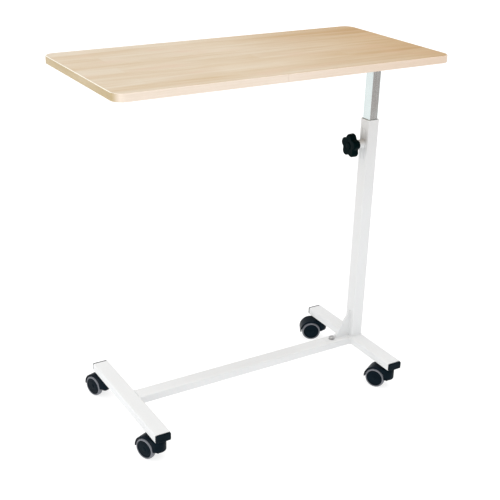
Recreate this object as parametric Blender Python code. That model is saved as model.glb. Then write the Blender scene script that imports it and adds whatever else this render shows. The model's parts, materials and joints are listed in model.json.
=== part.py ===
"""Overbed table: cantilevered top on a telescoping column, H-shaped base on four twin-wheel castors.

Metres, +Z up. The origin is on the floor, under the middle of the outline.
+X points to the column end, -Y to the side the table is used from.
Pieces are made about the table's middle plane, then all of them are moved into this frame.
"""
import math

import bmesh
import bpy
from mathutils import Matrix, Vector

# ---------------------------------------------------------------- driving dimensions
GAP = 0.0003                    # clearance between pieces that touch
MIDDLE_Y = -0.0072              # middle plane of top, column and base; the castors trail towards +Y

TOP_LENGTH = 0.800              # tabletop, along X
TOP_WIDTH = 0.380               # tabletop, along Y
TOP_THICKNESS = 0.016
TOP_CORNER = 0.026
TOP_HEIGHT = 0.847              # upper surface above the floor
BAND_THICKNESS = 0.002
BAND_SEAM_X = -0.028            # where the two ends of the edge band meet

COLUMN_X = 0.3385
OUTER_TUBE = 0.032              # square column tube
OUTER_CORNER = 0.0035
OUTER_TOP = 0.664
INNER_TUBE = 0.026              # square telescoping tube
INNER_CORNER = 0.003
INNER_BOTTOM = 0.269
WALL = 0.0015                   # all tubes

GROOVE_LENGTH = 0.077           # pressed guide grooves behind the clamp
GROOVE_WIDTH = 0.0016
GROOVE_DEPTH = 0.0007
GROOVE_SPACING = 0.0120

BUSH_LENGTH = 0.045
BUSH_DEPTH = 0.003              # below the mouth of the column
GLIDE_HEIGHT = 0.010

PLATE_LENGTH = 0.300            # steel plate under the top
PLATE_WIDTH = 0.100
PLATE_THICKNESS = 0.003
PLATE_MIDDLE_X = 0.215
RAIL_WIDTH = 0.030              # arm under the plate
RAIL_HEIGHT = 0.018
RAIL_START_X = 0.075
SCREW_ROWS_X = (0.085, 0.215, 0.350)
SCREW_ROW_Y = 0.038
SCREW_RADIUS = 0.002
SCREW_HEAD_RADIUS = 0.0042
SCREW_HEAD_HEIGHT = 0.0024
SCREW_DEPTH = 0.011             # into the board

CLAMP_HEIGHT = 0.604
BOSS_RADIUS = 0.0105
BOSS_LENGTH = 0.020
STUD_RADIUS = 0.005
STUD_NOSE_RADIUS = 0.0025
PAD_RADIUS = 0.0046
PAD_LENGTH = 0.0033
KNOB_RADIUS = 0.0290            # over the lobes
KNOB_LOBE_DEPTH = 0.0072
KNOB_LOBES = 5
KNOB_THICKNESS = 0.017
KNOB_STANDOFF = 0.0285          # column face to the back of the lobes
KNOB_HUB_LENGTH = 0.005
KNOB_HUB_RADIUS = 0.0105

BASE_TOP = 0.082                # upper face of crossbars and beam
BASE_HEIGHT = 0.020
BASE_CORNER = 0.003
CROSSBAR_WIDTH = 0.038
CROSSBAR_LENGTH = 0.346
CROSSBAR_LEFT_X = -0.305
CROSSBAR_RIGHT_X = 0.3370
CAP_FLANGE = 0.005
CAP_SPIGOT = 0.012
BEAM_WIDTH = 0.036
JOINT_X = 0.250                 # where the beam meets the stub of the right crossbar
SPIGOT_START_X = 0.185
SPIGOT_WALL = 0.002
BOLT_X = 0.269
BOLT_RADIUS = 0.004
BOLT_HEAD_RADIUS = 0.0073
BOLT_HEAD_HEIGHT = 0.0052
WASHER_RADIUS = 0.008
WASHER_THICKNESS = 0.0014
NUT_HEIGHT = 0.0060
GUSSET_TOE_X = 0.280
GUSSET_NOSE = 0.008
GUSSET_HEIGHT = 0.070
GUSSET_THICKNESS = 0.005

CASTOR_Y = 0.148                # swivel axes, either side of the beam
CASTOR_TRAIL = 0.0238
WHEEL_RADIUS = 0.025
WHEEL_INNER = 0.0088            # from the castor's middle plane
WHEEL_OUTER = 0.0218
TYRE_BORE = 0.0207
HOOD_RADIUS = 0.0298
HOOD_INNER_RADIUS = 0.0268
HOOD_WIDTH = 0.038              # also the diameter of its round front
HOOD_FRONT_BOTTOM = 0.0268      # lower edge of the round front
HOOD_SHOULDER = 0.006
HOOD_POCKET_TOP = 0.0518
WEB_WIDTH = 0.016
NECK_RADIUS = 0.0105
NECK_TOP = 0.0575
PINTLE_CORE_RADIUS = 0.0075
PINTLE_CORE_BOTTOM = 0.0195
PINTLE_RADIUS = 0.004
PINTLE_BOTTOM = 0.021
STEM_FLANGE_RADIUS = 0.0100
STEM_TOP = 0.0740
AXLE_RADIUS = 0.0025
AXLE_HALF_LENGTH = 0.0172

# label, x of the swivel axis, side in Y, direction the wheels trail in (degrees from +X)
CASTORS = (
    ("front_left", CROSSBAR_LEFT_X, -1, 112),
    ("back_left", CROSSBAR_LEFT_X, 1, 108),
    ("front_right", CROSSBAR_RIGHT_X, -1, 120),
    ("back_right", CROSSBAR_RIGHT_X, 1, 150),
)

ROUND_STEPS = 32                # facets on wheels and the knob's hub
SMALL_ROUND_STEPS = 16          # facets on screws, pins and bores
CORNER_STEPS = 4                # facets on a tube's corner
SMOOTH_ANGLE = math.radians(35)

# name: base colour, roughness, metallic
FINISHES = {
    "beech_laminate": ((0.78, 0.60, 0.38), 0.45, 0.0),
    "edge_band_laminate": ((0.85, 0.68, 0.52), 0.45, 0.0),
    "white_powder_coat": ((0.86, 0.86, 0.86), 0.40, 0.0),
    "bright_chrome": ((0.80, 0.81, 0.83), 0.10, 1.0),
    "zinc_steel": ((0.60, 0.61, 0.63), 0.35, 1.0),
    "black_painted_steel": ((0.03, 0.03, 0.03), 0.45, 0.0),
    "black_plastic": ((0.015, 0.017, 0.018), 0.35, 0.0),
    "natural_nylon": ((0.75, 0.73, 0.66), 0.50, 0.0),
    "grey_tyre_rubber": ((0.16, 0.16, 0.18), 0.60, 0.0),
    "brass": ((0.72, 0.53, 0.24), 0.30, 1.0),
}


# ---------------------------------------------------------------- outlines
def circle(radius, steps=SMALL_ROUND_STEPS, centre=(0.0, 0.0)):
    """Outline of a circle, anticlockwise."""
    angles = (2 * math.pi * step / steps for step in range(steps))
    return [Vector(centre) + radius * Vector((math.cos(a), math.sin(a))) for a in angles]


def arc(centre, radius, start, end, steps):
    """Points along an arc, both ends included, angles in degrees."""
    points = []
    for step in range(steps + 1):
        angle = math.radians(start + (end - start) * step / steps)
        points.append(Vector(centre) + radius * Vector((math.cos(angle), math.sin(angle))))
    return points


def rounded_rectangle(width, depth, radius, steps=CORNER_STEPS):
    """Outline of a rectangle with rounded corners, centred on the origin, anticlockwise."""
    reach = Vector((width / 2 - radius, depth / 2 - radius))
    outline = []
    for quarter, (side_u, side_v) in enumerate(((1, 1), (-1, 1), (-1, -1), (1, -1))):
        centre = (side_u * reach.x, side_v * reach.y)
        outline += arc(centre, radius, 90 * quarter, 90 * quarter + 90, steps)
    return outline


def star(radius, lobe_depth, lobes, steps):
    """Outline of a lobed grip with one lobe pointing up."""
    outline = []
    for step in range(steps):
        angle = 2 * math.pi * step / steps
        wave = math.cos(lobes * (angle - math.pi / 2))
        reach = radius - lobe_depth * (1 - wave) / 2
        outline.append(reach * Vector((math.cos(angle), math.sin(angle))))
    return outline


# ---------------------------------------------------------------- meshes
def placed(bm, axis, start):
    """Turn a mesh made along Z so that it runs along the given axis, and start it there."""
    turns = {
        "X": Matrix(((0, 0, 1), (1, 0, 0), (0, 1, 0))),
        "Y": Matrix(((1, 0, 0), (0, 0, 1), (0, 1, 0))),
        "Z": Matrix.Identity(3),
    }
    offset = {"X": (start, 0, 0), "Y": (0, start, 0), "Z": (0, 0, start)}[axis]
    bmesh.ops.transform(bm, matrix=turns[axis].to_4x4(), verts=bm.verts)
    bmesh.ops.translate(bm, vec=offset, verts=bm.verts)
    bmesh.ops.recalc_face_normals(bm, faces=bm.faces)
    return bm


def prism(outline, length, axis="Z", start=0.0, holes=()):
    """Solid with a constant outline; the outline's plane is XY, YZ or XZ for axis Z, X or Y."""
    bm = bmesh.new()
    edges = []
    for loop in (outline, *holes):
        verts = [bm.verts.new((point.x, point.y, 0.0)) for point in loop]
        edges += [bm.edges.new((verts[i - 1], verts[i])) for i in range(len(verts))]
    bmesh.ops.triangle_fill(bm, use_beauty=True, use_dissolve=False, edges=edges)
    extruded = bmesh.ops.extrude_face_region(bm, geom=bm.faces[:])
    top = [item for item in extruded["geom"] if isinstance(item, bmesh.types.BMVert)]
    bmesh.ops.translate(bm, vec=(0, 0, length), verts=top)
    return placed(bm, axis, start)


def lathe(profile, axis="Z", steps=ROUND_STEPS, closed=False):
    """Solid of revolution from (radius, height) points; an open profile starts and ends on the axis."""
    bm = bmesh.new()
    verts = [bm.verts.new((radius, 0, height)) for radius, height in profile]
    pairs = list(zip(verts, verts[1:]))
    if closed:
        pairs.append((verts[-1], verts[0]))
    edges = [bm.edges.new(pair) for pair in pairs]
    bmesh.ops.spin(bm, geom=verts + edges, cent=(0, 0, 0), axis=(0, 0, 1), dvec=(0, 0, 0),
                   angle=2 * math.pi, steps=steps, use_merge=True, use_duplicate=False)
    bmesh.ops.remove_doubles(bm, verts=bm.verts, dist=1e-6)
    return placed(bm, axis, 0.0)


def pin(radius, start, end, axis="Z", steps=SMALL_ROUND_STEPS):
    """Plain round rod between two stations on its axis."""
    return lathe([(0, start), (radius, start), (radius, end), (0, end)], axis, steps)


def shifted(bm, offset):
    """The same mesh, moved."""
    bmesh.ops.translate(bm, vec=offset, verts=bm.verts)
    return bm


# ---------------------------------------------------------------- objects
def clear_scene():
    for obj in list(bpy.data.objects):
        bpy.data.objects.remove(obj, do_unlink=True)


def finish_material(name):
    """The named material, made on first use."""
    material = bpy.data.materials.get(name)
    if material is None:
        colour, roughness, metallic = FINISHES[name]
        material = bpy.data.materials.new(name)
        material.use_nodes = True
        shader = material.node_tree.nodes["Principled BSDF"]
        shader.inputs["Base Color"].default_value = (*colour, 1.0)
        shader.inputs["Roughness"].default_value = roughness
        shader.inputs["Metallic"].default_value = metallic
    return material


def mesh_from(name, bm):
    mesh = bpy.data.meshes.new(name)
    bm.to_mesh(mesh)
    bm.free()
    return mesh


def add_object(name, mesh, finish, location=(0, 0, 0), rotation=(0, 0, 0), parent=None):
    """Place a named piece with its material, smooth on its round faces."""
    obj = bpy.data.objects.new(name, mesh)
    bpy.context.scene.collection.objects.link(obj)
    if not mesh.materials:
        mesh.materials.append(finish_material(finish))
        mesh.shade_smooth()
        mesh.set_sharp_from_angle(angle=SMOOTH_ANGLE)
    obj.location = location
    obj.rotation_euler = rotation
    obj.parent = parent
    return obj


def shaped(name, bm, steps):
    """Mesh of a body after each (operation, tool) is applied to it in turn."""
    body = bpy.data.objects.new(name, mesh_from(name, bm))
    bpy.context.scene.collection.objects.link(body)
    helpers = []
    for operation, tool in steps:
        helper = bpy.data.objects.new(name + "_tool", mesh_from(name + "_tool", tool))
        bpy.context.scene.collection.objects.link(helper)
        helper.hide_render = True
        helper.display_type = "WIRE"
        helpers.append(helper)
        modifier = body.modifiers.new(operation.title(), "BOOLEAN")
        modifier.operation = operation
        modifier.solver = "EXACT"
        modifier.object = helper
    evaluated = body.evaluated_get(bpy.context.evaluated_depsgraph_get())
    mesh = bpy.data.meshes.new_from_object(evaluated)
    mesh.name = name
    for obj in (body, *helpers):
        bpy.data.objects.remove(obj, do_unlink=True)
    return mesh


def cut(tools):
    """Steps that cut each tool away."""
    return [("DIFFERENCE", tool) for tool in tools]


def add_prism(name, finish, *args, **kwargs):
    return add_object(name, mesh_from(name, prism(*args, **kwargs)), finish)


# ---------------------------------------------------------------- tabletop
def screw_places():
    return [(x, side * SCREW_ROW_Y) for x in SCREW_ROWS_X for side in (-1, 1)]


def build_top():
    underside = TOP_HEIGHT - TOP_THICKNESS
    inset = BAND_THICKNESS + GAP
    board = prism(rounded_rectangle(TOP_LENGTH - 2 * inset, TOP_WIDTH - 2 * inset, TOP_CORNER - inset, 6),
                  TOP_THICKNESS, start=underside)
    pilot_holes = [shifted(pin(SCREW_RADIUS + GAP, underside - GAP, underside + SCREW_DEPTH + GAP), (x, y, 0))
                   for x, y in screw_places()]
    add_object("tabletop_board", shaped("tabletop_board", board, cut(pilot_holes)), "beech_laminate")

    band = prism(rounded_rectangle(TOP_LENGTH, TOP_WIDTH, TOP_CORNER, 6), TOP_THICKNESS, start=underside,
                 holes=[rounded_rectangle(TOP_LENGTH - 2 * BAND_THICKNESS, TOP_WIDTH - 2 * BAND_THICKNESS,
                                          TOP_CORNER - BAND_THICKNESS, 6)])
    seam = prism(rounded_rectangle(GAP, 4 * BAND_THICKNESS, GAP / 4, 1), 2 * TOP_THICKNESS,
                 start=underside - TOP_THICKNESS / 2)
    shifted(seam, (BAND_SEAM_X, -TOP_WIDTH / 2, 0))
    add_object("tabletop_edge_band", shaped("tabletop_edge_band", band, cut([seam])), "edge_band_laminate")


def build_top_support():
    plate_top = TOP_HEIGHT - TOP_THICKNESS - GAP
    plate_bottom = plate_top - PLATE_THICKNESS
    screw_holes = [circle(SCREW_RADIUS + GAP, centre=(x - PLATE_MIDDLE_X, y)) for x, y in screw_places()]
    plate = prism(rounded_rectangle(PLATE_LENGTH, PLATE_WIDTH, 0.010), PLATE_THICKNESS,
                  start=plate_bottom, holes=screw_holes)
    add_object("top_support_plate", mesh_from("top_support_plate", shifted(plate, (PLATE_MIDDLE_X, 0, 0))),
               "black_painted_steel")

    rail_end = COLUMN_X - INNER_TUBE / 2 - GAP
    rail_middle_z = plate_bottom - GAP - RAIL_HEIGHT / 2
    rail = prism(rounded_rectangle(RAIL_WIDTH, RAIL_HEIGHT, 0.002, 2), rail_end - RAIL_START_X, axis="X",
                 start=RAIL_START_X,
                 holes=[rounded_rectangle(RAIL_WIDTH - 2 * WALL, RAIL_HEIGHT - 2 * WALL, 0.001, 2)])
    add_object("top_support_rail", mesh_from("top_support_rail", shifted(rail, (0, 0, rail_middle_z))),
               "black_painted_steel")

    head_top = plate_bottom - GAP
    screw = mesh_from("top_screw", lathe([
        (0, -SCREW_HEAD_HEIGHT),
        (SCREW_HEAD_RADIUS * 0.6, -SCREW_HEAD_HEIGHT),
        (SCREW_HEAD_RADIUS, -SCREW_HEAD_HEIGHT * 0.45),
        (SCREW_HEAD_RADIUS, 0),
        (SCREW_RADIUS, 0),
        (SCREW_RADIUS, SCREW_DEPTH + PLATE_THICKNESS - 0.003),
        (0, SCREW_DEPTH + PLATE_THICKNESS),
    ], steps=SMALL_ROUND_STEPS))
    for number, (x, y) in enumerate(screw_places(), start=1):
        add_object(f"top_screw_{number}", screw, "zinc_steel", location=(x, y, head_top))


# ---------------------------------------------------------------- column
def square_tube(size, corner, start, end):
    """Square tube standing on the column's axis."""
    outer = rounded_rectangle(size, size, corner)
    bore = rounded_rectangle(size - 2 * WALL, size - 2 * WALL, corner - WALL)
    return shifted(prism(outer, end - start, start=start, holes=[bore]), (COLUMN_X, 0, 0))


def build_inner_tube():
    tube_top = TOP_HEIGHT - TOP_THICKNESS - PLATE_THICKNESS - 2 * GAP
    tube = square_tube(INNER_TUBE, INNER_CORNER, INNER_BOTTOM, tube_top)
    add_object("column_inner_tube", mesh_from("column_inner_tube", tube), "bright_chrome")

    skirt_size = OUTER_TUBE - 2 * WALL - 2 * GAP
    plug_size = INNER_TUBE - 2 * WALL - 2 * GAP
    skirt_start = INNER_BOTTOM - GAP - GLIDE_HEIGHT
    skirt = prism(rounded_rectangle(skirt_size, skirt_size, OUTER_CORNER - WALL), GLIDE_HEIGHT, start=skirt_start)
    plug = prism(rounded_rectangle(plug_size, plug_size, INNER_CORNER - WALL - GAP), 2 * GLIDE_HEIGHT,
                 start=skirt_start + GLIDE_HEIGHT / 2)
    for piece in (skirt, plug):
        shifted(piece, (COLUMN_X, 0, 0))
    add_object("column_bottom_glide", shaped("column_bottom_glide", skirt, [("UNION", plug)]), "natural_nylon")


def build_outer_tube():
    face_x = COLUMN_X - OUTER_TUBE / 2
    tube = square_tube(OUTER_TUBE, OUTER_CORNER, BASE_TOP + GAP, OUTER_TOP)
    clamp_hole = pin(STUD_RADIUS + GAP, face_x - WALL, face_x + 2 * WALL, axis="X")
    cutters = [shifted(clamp_hole, (0, 0, CLAMP_HEIGHT))]
    for side in (-1, 1):
        groove = prism(rounded_rectangle(GROOVE_WIDTH, GROOVE_LENGTH, GROOVE_WIDTH * 0.45, 2), 2 * GROOVE_DEPTH,
                       axis="X", start=face_x - GROOVE_DEPTH)
        cutters.append(shifted(groove, (0, side * GROOVE_SPACING / 2, CLAMP_HEIGHT)))
    add_object("column_outer_tube", shaped("column_outer_tube", tube, cut(cutters)), "white_powder_coat")

    bush_size = OUTER_TUBE - 2 * WALL - 2 * GAP
    bore_size = INNER_TUBE + 2 * GAP
    bush_top = OUTER_TOP - BUSH_DEPTH
    bush = prism(rounded_rectangle(bush_size, bush_size, OUTER_CORNER - WALL - GAP), BUSH_LENGTH,
                 start=bush_top - BUSH_LENGTH,
                 holes=[rounded_rectangle(bore_size, bore_size, INNER_CORNER + GAP)])
    add_object("column_guide_bush", mesh_from("column_guide_bush", shifted(bush, (COLUMN_X, 0, 0))),
               "natural_nylon")


def build_clamp():
    """Clamp screw: welded boss, lobed knob on a stud, and the pad the stud presses on the inner tube."""
    face_x = COLUMN_X - OUTER_TUBE / 2
    on_axis = (0, 0, CLAMP_HEIGHT)
    boss = prism(circle(BOSS_RADIUS, ROUND_STEPS), BOSS_LENGTH - GAP, axis="X", start=face_x - BOSS_LENGTH,
                 holes=[circle(STUD_RADIUS + GAP)])
    add_object("clamp_boss", mesh_from("clamp_boss", boss), "white_powder_coat", location=on_axis)

    pad_end = COLUMN_X - INNER_TUBE / 2 - GAP
    pad_start = pad_end - PAD_LENGTH
    pocket_depth = PAD_LENGTH * 0.6
    pad = lathe([(0, pad_end), (PAD_RADIUS, pad_end), (PAD_RADIUS, pad_start),
                 (STUD_NOSE_RADIUS + GAP, pad_start), (STUD_NOSE_RADIUS + GAP, pad_start + pocket_depth),
                 (0, pad_start + pocket_depth)], axis="X", steps=SMALL_ROUND_STEPS)
    add_object("clamp_pad", mesh_from("clamp_pad", pad), "brass", location=on_axis)

    lobes_end = face_x - KNOB_STANDOFF
    lobes_start = lobes_end - KNOB_THICKNESS
    hub_end = lobes_end + KNOB_HUB_LENGTH
    stud_start = lobes_start + KNOB_THICKNESS * 0.45
    stud = lathe([(0, stud_start), (STUD_RADIUS, stud_start), (STUD_RADIUS, pad_start - GAP),
                  (STUD_NOSE_RADIUS, pad_start - GAP), (STUD_NOSE_RADIUS, pad_start + pocket_depth - GAP),
                  (0, pad_start + pocket_depth - GAP)], axis="X", steps=SMALL_ROUND_STEPS)
    add_object("clamp_stud", mesh_from("clamp_stud", stud), "zinc_steel", location=on_axis)

    lobes = prism(star(KNOB_RADIUS, KNOB_LOBE_DEPTH, KNOB_LOBES, 60), KNOB_THICKNESS, axis="X", start=lobes_start)
    rims = [edge for edge in lobes.edges if edge.is_manifold and edge.calc_face_angle() > SMOOTH_ANGLE]
    bmesh.ops.bevel(lobes, geom=rims, offset=0.0022, segments=2, profile=0.5, affect="EDGES", material=-1)
    hub = lathe([(0, lobes_end - 0.004), (KNOB_HUB_RADIUS * 1.15, lobes_end - 0.004),
                 (KNOB_HUB_RADIUS * 1.15, lobes_end + 0.001), (KNOB_HUB_RADIUS, hub_end), (0, hub_end)], axis="X")
    bore = pin(STUD_RADIUS + GAP, stud_start - GAP, hub_end + WALL, axis="X")
    knob = shaped("clamp_knob", lobes, [("UNION", hub), ("DIFFERENCE", bore)])
    add_object("clamp_knob", knob, "black_plastic", location=on_axis)


# ---------------------------------------------------------------- base
def build_crossbar(side, x):
    """Crossbar along Y with a hole for each castor stem, and a plug in each end."""
    middle_z = BASE_TOP - BASE_HEIGHT / 2
    bar = prism(rounded_rectangle(CROSSBAR_WIDTH, BASE_HEIGHT, BASE_CORNER), CROSSBAR_LENGTH, axis="Y",
                start=-CROSSBAR_LENGTH / 2,
                holes=[rounded_rectangle(CROSSBAR_WIDTH - 2 * WALL, BASE_HEIGHT - 2 * WALL, BASE_CORNER - WALL)])
    stem_holes = [shifted(pin(PINTLE_RADIUS + GAP, -BASE_HEIGHT, 0), (0, end * CASTOR_Y, 0)) for end in (-1, 1)]
    name = f"base_crossbar_{side}"
    add_object(name, shaped(name, bar, cut(stem_holes)), "white_powder_coat", location=(x, 0, middle_z))

    flange = prism(rounded_rectangle(CROSSBAR_WIDTH, BASE_HEIGHT, BASE_CORNER), CAP_FLANGE, axis="Y",
                   start=CROSSBAR_LENGTH / 2 + GAP)
    spigot = prism(rounded_rectangle(CROSSBAR_WIDTH - 2 * WALL - 2 * GAP, BASE_HEIGHT - 2 * WALL - 2 * GAP,
                                     BASE_CORNER - WALL - GAP), CAP_SPIGOT + CAP_FLANGE / 2, axis="Y",
                   start=CROSSBAR_LENGTH / 2 - CAP_SPIGOT)
    cap = shaped(f"end_cap_{side}", flange, [("UNION", spigot)])
    add_object(f"end_cap_back_{side}", cap, "black_plastic", location=(x, 0, middle_z))
    add_object(f"end_cap_front_{side}", cap, "black_plastic", location=(x, 0, middle_z),
               rotation=(0, 0, math.pi))


def base_tube(width, height, corner, wall, start, end, bolt_radius=None):
    """Flat tube along X at beam level, with an optional bolt hole through both walls."""
    outer = rounded_rectangle(width, height, corner)
    bore = rounded_rectangle(width - 2 * wall, height - 2 * wall, max(corner - wall, 0.0008))
    tube = shifted(prism(outer, end - start, axis="X", start=start, holes=[bore]),
                   (0, 0, BASE_TOP - BASE_HEIGHT / 2))
    holes = []
    if bolt_radius:
        holes.append(shifted(pin(bolt_radius, BASE_TOP - 2 * BASE_HEIGHT, BASE_TOP + BASE_HEIGHT),
                             (BOLT_X, 0, 0)))
    return tube, holes


def build_beam():
    beam_start = CROSSBAR_LEFT_X + CROSSBAR_WIDTH / 2 + GAP
    stub_end = CROSSBAR_RIGHT_X - CROSSBAR_WIDTH / 2 - GAP
    beam, _ = base_tube(BEAM_WIDTH, BASE_HEIGHT, BASE_CORNER, WALL, beam_start, JOINT_X - GAP)
    add_object("base_beam", mesh_from("base_beam", beam), "white_powder_coat")

    bolt_hole = BOLT_RADIUS + GAP
    stub, holes = base_tube(BEAM_WIDTH, BASE_HEIGHT, BASE_CORNER, WALL, JOINT_X, stub_end, bolt_hole)
    add_object("base_socket", shaped("base_socket", stub, cut(holes)), "white_powder_coat")

    fit = 2 * WALL + 2 * GAP
    spigot, holes = base_tube(BEAM_WIDTH - fit, BASE_HEIGHT - fit, BASE_CORNER - WALL, SPIGOT_WALL,
                              SPIGOT_START_X, stub_end - 0.004, bolt_hole)
    add_object("base_joint_spigot", shaped("base_joint_spigot", spigot, cut(holes)), "zinc_steel")


def build_joint_bolt():
    """Bolt, washer and nut that hold the beam's spigot in the socket."""
    socket_bottom = BASE_TOP - BASE_HEIGHT
    washer_bottom = BASE_TOP + GAP
    washer = prism(circle(WASHER_RADIUS, ROUND_STEPS), WASHER_THICKNESS, start=washer_bottom,
                   holes=[circle(BOLT_RADIUS + GAP)])
    head_bottom = washer_bottom + WASHER_THICKNESS + GAP
    head = prism(circle(BOLT_HEAD_RADIUS, 6), BOLT_HEAD_HEIGHT, start=head_bottom)
    shank = pin(BOLT_RADIUS, socket_bottom - NUT_HEIGHT - 0.002, head_bottom + 0.001)
    nut = prism(circle(BOLT_HEAD_RADIUS, 6), NUT_HEIGHT, start=socket_bottom - GAP - NUT_HEIGHT,
                holes=[circle(BOLT_RADIUS + GAP)])
    place = (BOLT_X, 0, 0)
    add_object("base_joint_washer", mesh_from("base_joint_washer", washer), "zinc_steel", location=place)
    add_object("base_joint_bolt", shaped("base_joint_bolt", head, [("UNION", shank)]), "zinc_steel", location=place)
    add_object("base_joint_nut", mesh_from("base_joint_nut", nut), "zinc_steel", location=place)


def build_gusset():
    """Triangular plate between the socket and the column, in their middle plane."""
    column_face = COLUMN_X - OUTER_TUBE / 2 - GAP
    foot = BASE_TOP + GAP
    outline = [Vector(point) for point in (
        (GUSSET_TOE_X, foot), (column_face, foot), (column_face, foot + GUSSET_HEIGHT),
        (column_face - 0.002, foot + GUSSET_HEIGHT), (GUSSET_TOE_X, foot + GUSSET_NOSE))]
    add_prism("column_gusset", "white_powder_coat", outline, GUSSET_THICKNESS, axis="Y",
              start=-GUSSET_THICKNESS / 2)


# ---------------------------------------------------------------- castors
def castor_hood():
    """Wheel cover whose outline in plan is straight along the wheels and round in front, about the stem."""
    axle = (CASTOR_TRAIL, WHEEL_RADIUS)
    half = HOOD_WIDTH / 2
    top = WHEEL_RADIUS + HOOD_RADIUS
    front_end = 180 - math.degrees(math.asin((HOOD_FRONT_BOTTOM - WHEEL_RADIUS) / HOOD_INNER_RADIUS))
    outline = arc(axle, HOOD_RADIUS, -4, 90, 12)
    outline += arc((HOOD_SHOULDER - half, top - HOOD_SHOULDER), HOOD_SHOULDER, 90, 180, 4)
    outline.append(Vector((-half, HOOD_FRONT_BOTTOM)))
    outline += arc(axle, HOOD_INNER_RADIUS, front_end, -4, 22)
    plan = arc((0, 0), half, 90, 270, 16)
    plan += [Vector((4 * half, -half)), Vector((4 * half, half))]
    return prism(outline, 2 * HOOD_WIDTH, axis="Y", start=-HOOD_WIDTH), prism(plan, 4 * half, start=0)


def castor_body():
    """Hood with a pocket in its round front, middle web, and the neck that turns on the stem."""
    axle = (CASTOR_TRAIL, WHEEL_RADIUS)
    wall = HOOD_RADIUS - HOOD_INNER_RADIUS
    hood, plan = castor_hood()
    pocket = pin(HOOD_WIDTH / 2 - wall, HOOD_FRONT_BOTTOM - 2 * wall, HOOD_POCKET_TOP, steps=24)
    pocket_wall = arc(axle, HOOD_RADIUS - GAP, 100, 176, 10) + arc(axle, HOOD_INNER_RADIUS + GAP, 176, 100, 10)
    pocket_wall = prism(pocket_wall, HOOD_WIDTH - wall, axis="Y", start=(wall - HOOD_WIDTH) / 2)
    web_outline = [Vector(point) for point in (
        (-0.0070, 0.0500), (-0.0070, PINTLE_CORE_BOTTOM), (0.0050, PINTLE_CORE_BOTTOM))]
    web_outline += arc(axle, 0.0150, -158, 25, 12)
    web_outline += arc(axle, (HOOD_RADIUS + HOOD_INNER_RADIUS) / 2, 35, 110, 8)
    web = prism(web_outline, WEB_WIDTH, axis="Y", start=-WEB_WIDTH / 2)
    core = pin(PINTLE_CORE_RADIUS, PINTLE_CORE_BOTTOM - GAP, HOOD_POCKET_TOP + GAP, steps=24)
    neck = pin(NECK_RADIUS, HOOD_POCKET_TOP + 2 * GAP, NECK_TOP, steps=24)
    pintle_bore = pin(PINTLE_RADIUS + GAP, PINTLE_BOTTOM - GAP, NECK_TOP + WALL)
    axle_bore = shifted(pin(AXLE_RADIUS + GAP, -HOOD_WIDTH, HOOD_WIDTH, axis="Y"),
                        (CASTOR_TRAIL, 0, WHEEL_RADIUS))
    steps = [("INTERSECT", plan), ("DIFFERENCE", pocket)]
    steps += [("UNION", tool) for tool in (pocket_wall, web, core, neck)]
    return shaped("castor_body", hood, steps + cut([pintle_bore, axle_bore]))


def castor_stem():
    """Pintle, flange against the crossbar, and threaded end inside it."""
    flange_bottom = NECK_TOP + GAP
    flange_top = BASE_TOP - BASE_HEIGHT - GAP
    return mesh_from("castor_stem", lathe([
        (0, PINTLE_BOTTOM), (PINTLE_RADIUS, PINTLE_BOTTOM), (PINTLE_RADIUS, flange_bottom),
        (STEM_FLANGE_RADIUS, flange_bottom), (STEM_FLANGE_RADIUS, flange_top), (PINTLE_RADIUS, flange_top),
        (PINTLE_RADIUS, STEM_TOP), (0, STEM_TOP)], steps=SMALL_ROUND_STEPS))


def castor_tyre():
    """Ring with a flat tread and a rounded outer shoulder."""
    inner, outer = WHEEL_INNER, WHEEL_OUTER
    return mesh_from("castor_tyre", lathe([
        (TYRE_BORE, inner), (WHEEL_RADIUS - 0.0012, inner), (WHEEL_RADIUS, inner + 0.0014),
        (WHEEL_RADIUS, outer - 0.0050), (WHEEL_RADIUS - 0.0008, outer - 0.0028),
        (WHEEL_RADIUS - 0.0026, outer - 0.0012), (TYRE_BORE, outer - 0.0008)], closed=True))


def castor_wheel_centre():
    """Wheel centre with a blind axle bore on the inside and a domed face outside."""
    rim = TYRE_BORE - GAP
    bore = AXLE_RADIUS + GAP
    bore_end = AXLE_HALF_LENGTH + GAP
    return mesh_from("castor_wheel_centre", lathe([
        (0, WHEEL_OUTER), (rim * 0.6, WHEEL_OUTER - 0.0003), (rim * 0.92, WHEEL_OUTER - 0.0009),
        (rim, WHEEL_OUTER - 0.0016), (rim, WHEEL_INNER), (bore, WHEEL_INNER), (bore, bore_end), (0, bore_end)]))


def build_castors():
    """Four swivelling twin-wheel castors; each is built around its own swivel axis."""
    axle_z = WHEEL_RADIUS
    meshes = {
        "stem": (castor_stem(), "zinc_steel"),
        "body": (castor_body(), "black_plastic"),
        "tyre": (castor_tyre(), "grey_tyre_rubber"),
        "wheel_centre": (castor_wheel_centre(), "black_plastic"),
    }
    axle_mesh = mesh_from("castor_axle", pin(AXLE_RADIUS, -AXLE_HALF_LENGTH, AXLE_HALF_LENGTH, axis="Y"))
    for label, x, side, trail_heading in CASTORS:
        swivel = bpy.data.objects.new(f"castor_{label}_swivel_axis", None)
        bpy.context.scene.collection.objects.link(swivel)
        swivel.location = (x, side * CASTOR_Y, 0)
        swivel.rotation_euler = (0, 0, math.radians(trail_heading))
        for piece in ("stem", "body"):
            add_object(f"castor_{label}_{piece}", *meshes[piece], parent=swivel)
        add_object(f"castor_{label}_axle", axle_mesh, "zinc_steel", location=(CASTOR_TRAIL, 0, axle_z),
                   parent=swivel)
        for wheel, turn in (("a", -math.pi / 2), ("b", math.pi / 2)):
            for piece in ("wheel_centre", "tyre"):
                add_object(f"castor_{label}_{piece}_{wheel}", *meshes[piece],
                           location=(CASTOR_TRAIL, 0, axle_z), rotation=(turn, 0, 0), parent=swivel)


def move_into_frame():
    for obj in bpy.data.objects:
        if obj.parent is None:
            obj.location.y += MIDDLE_Y


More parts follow.
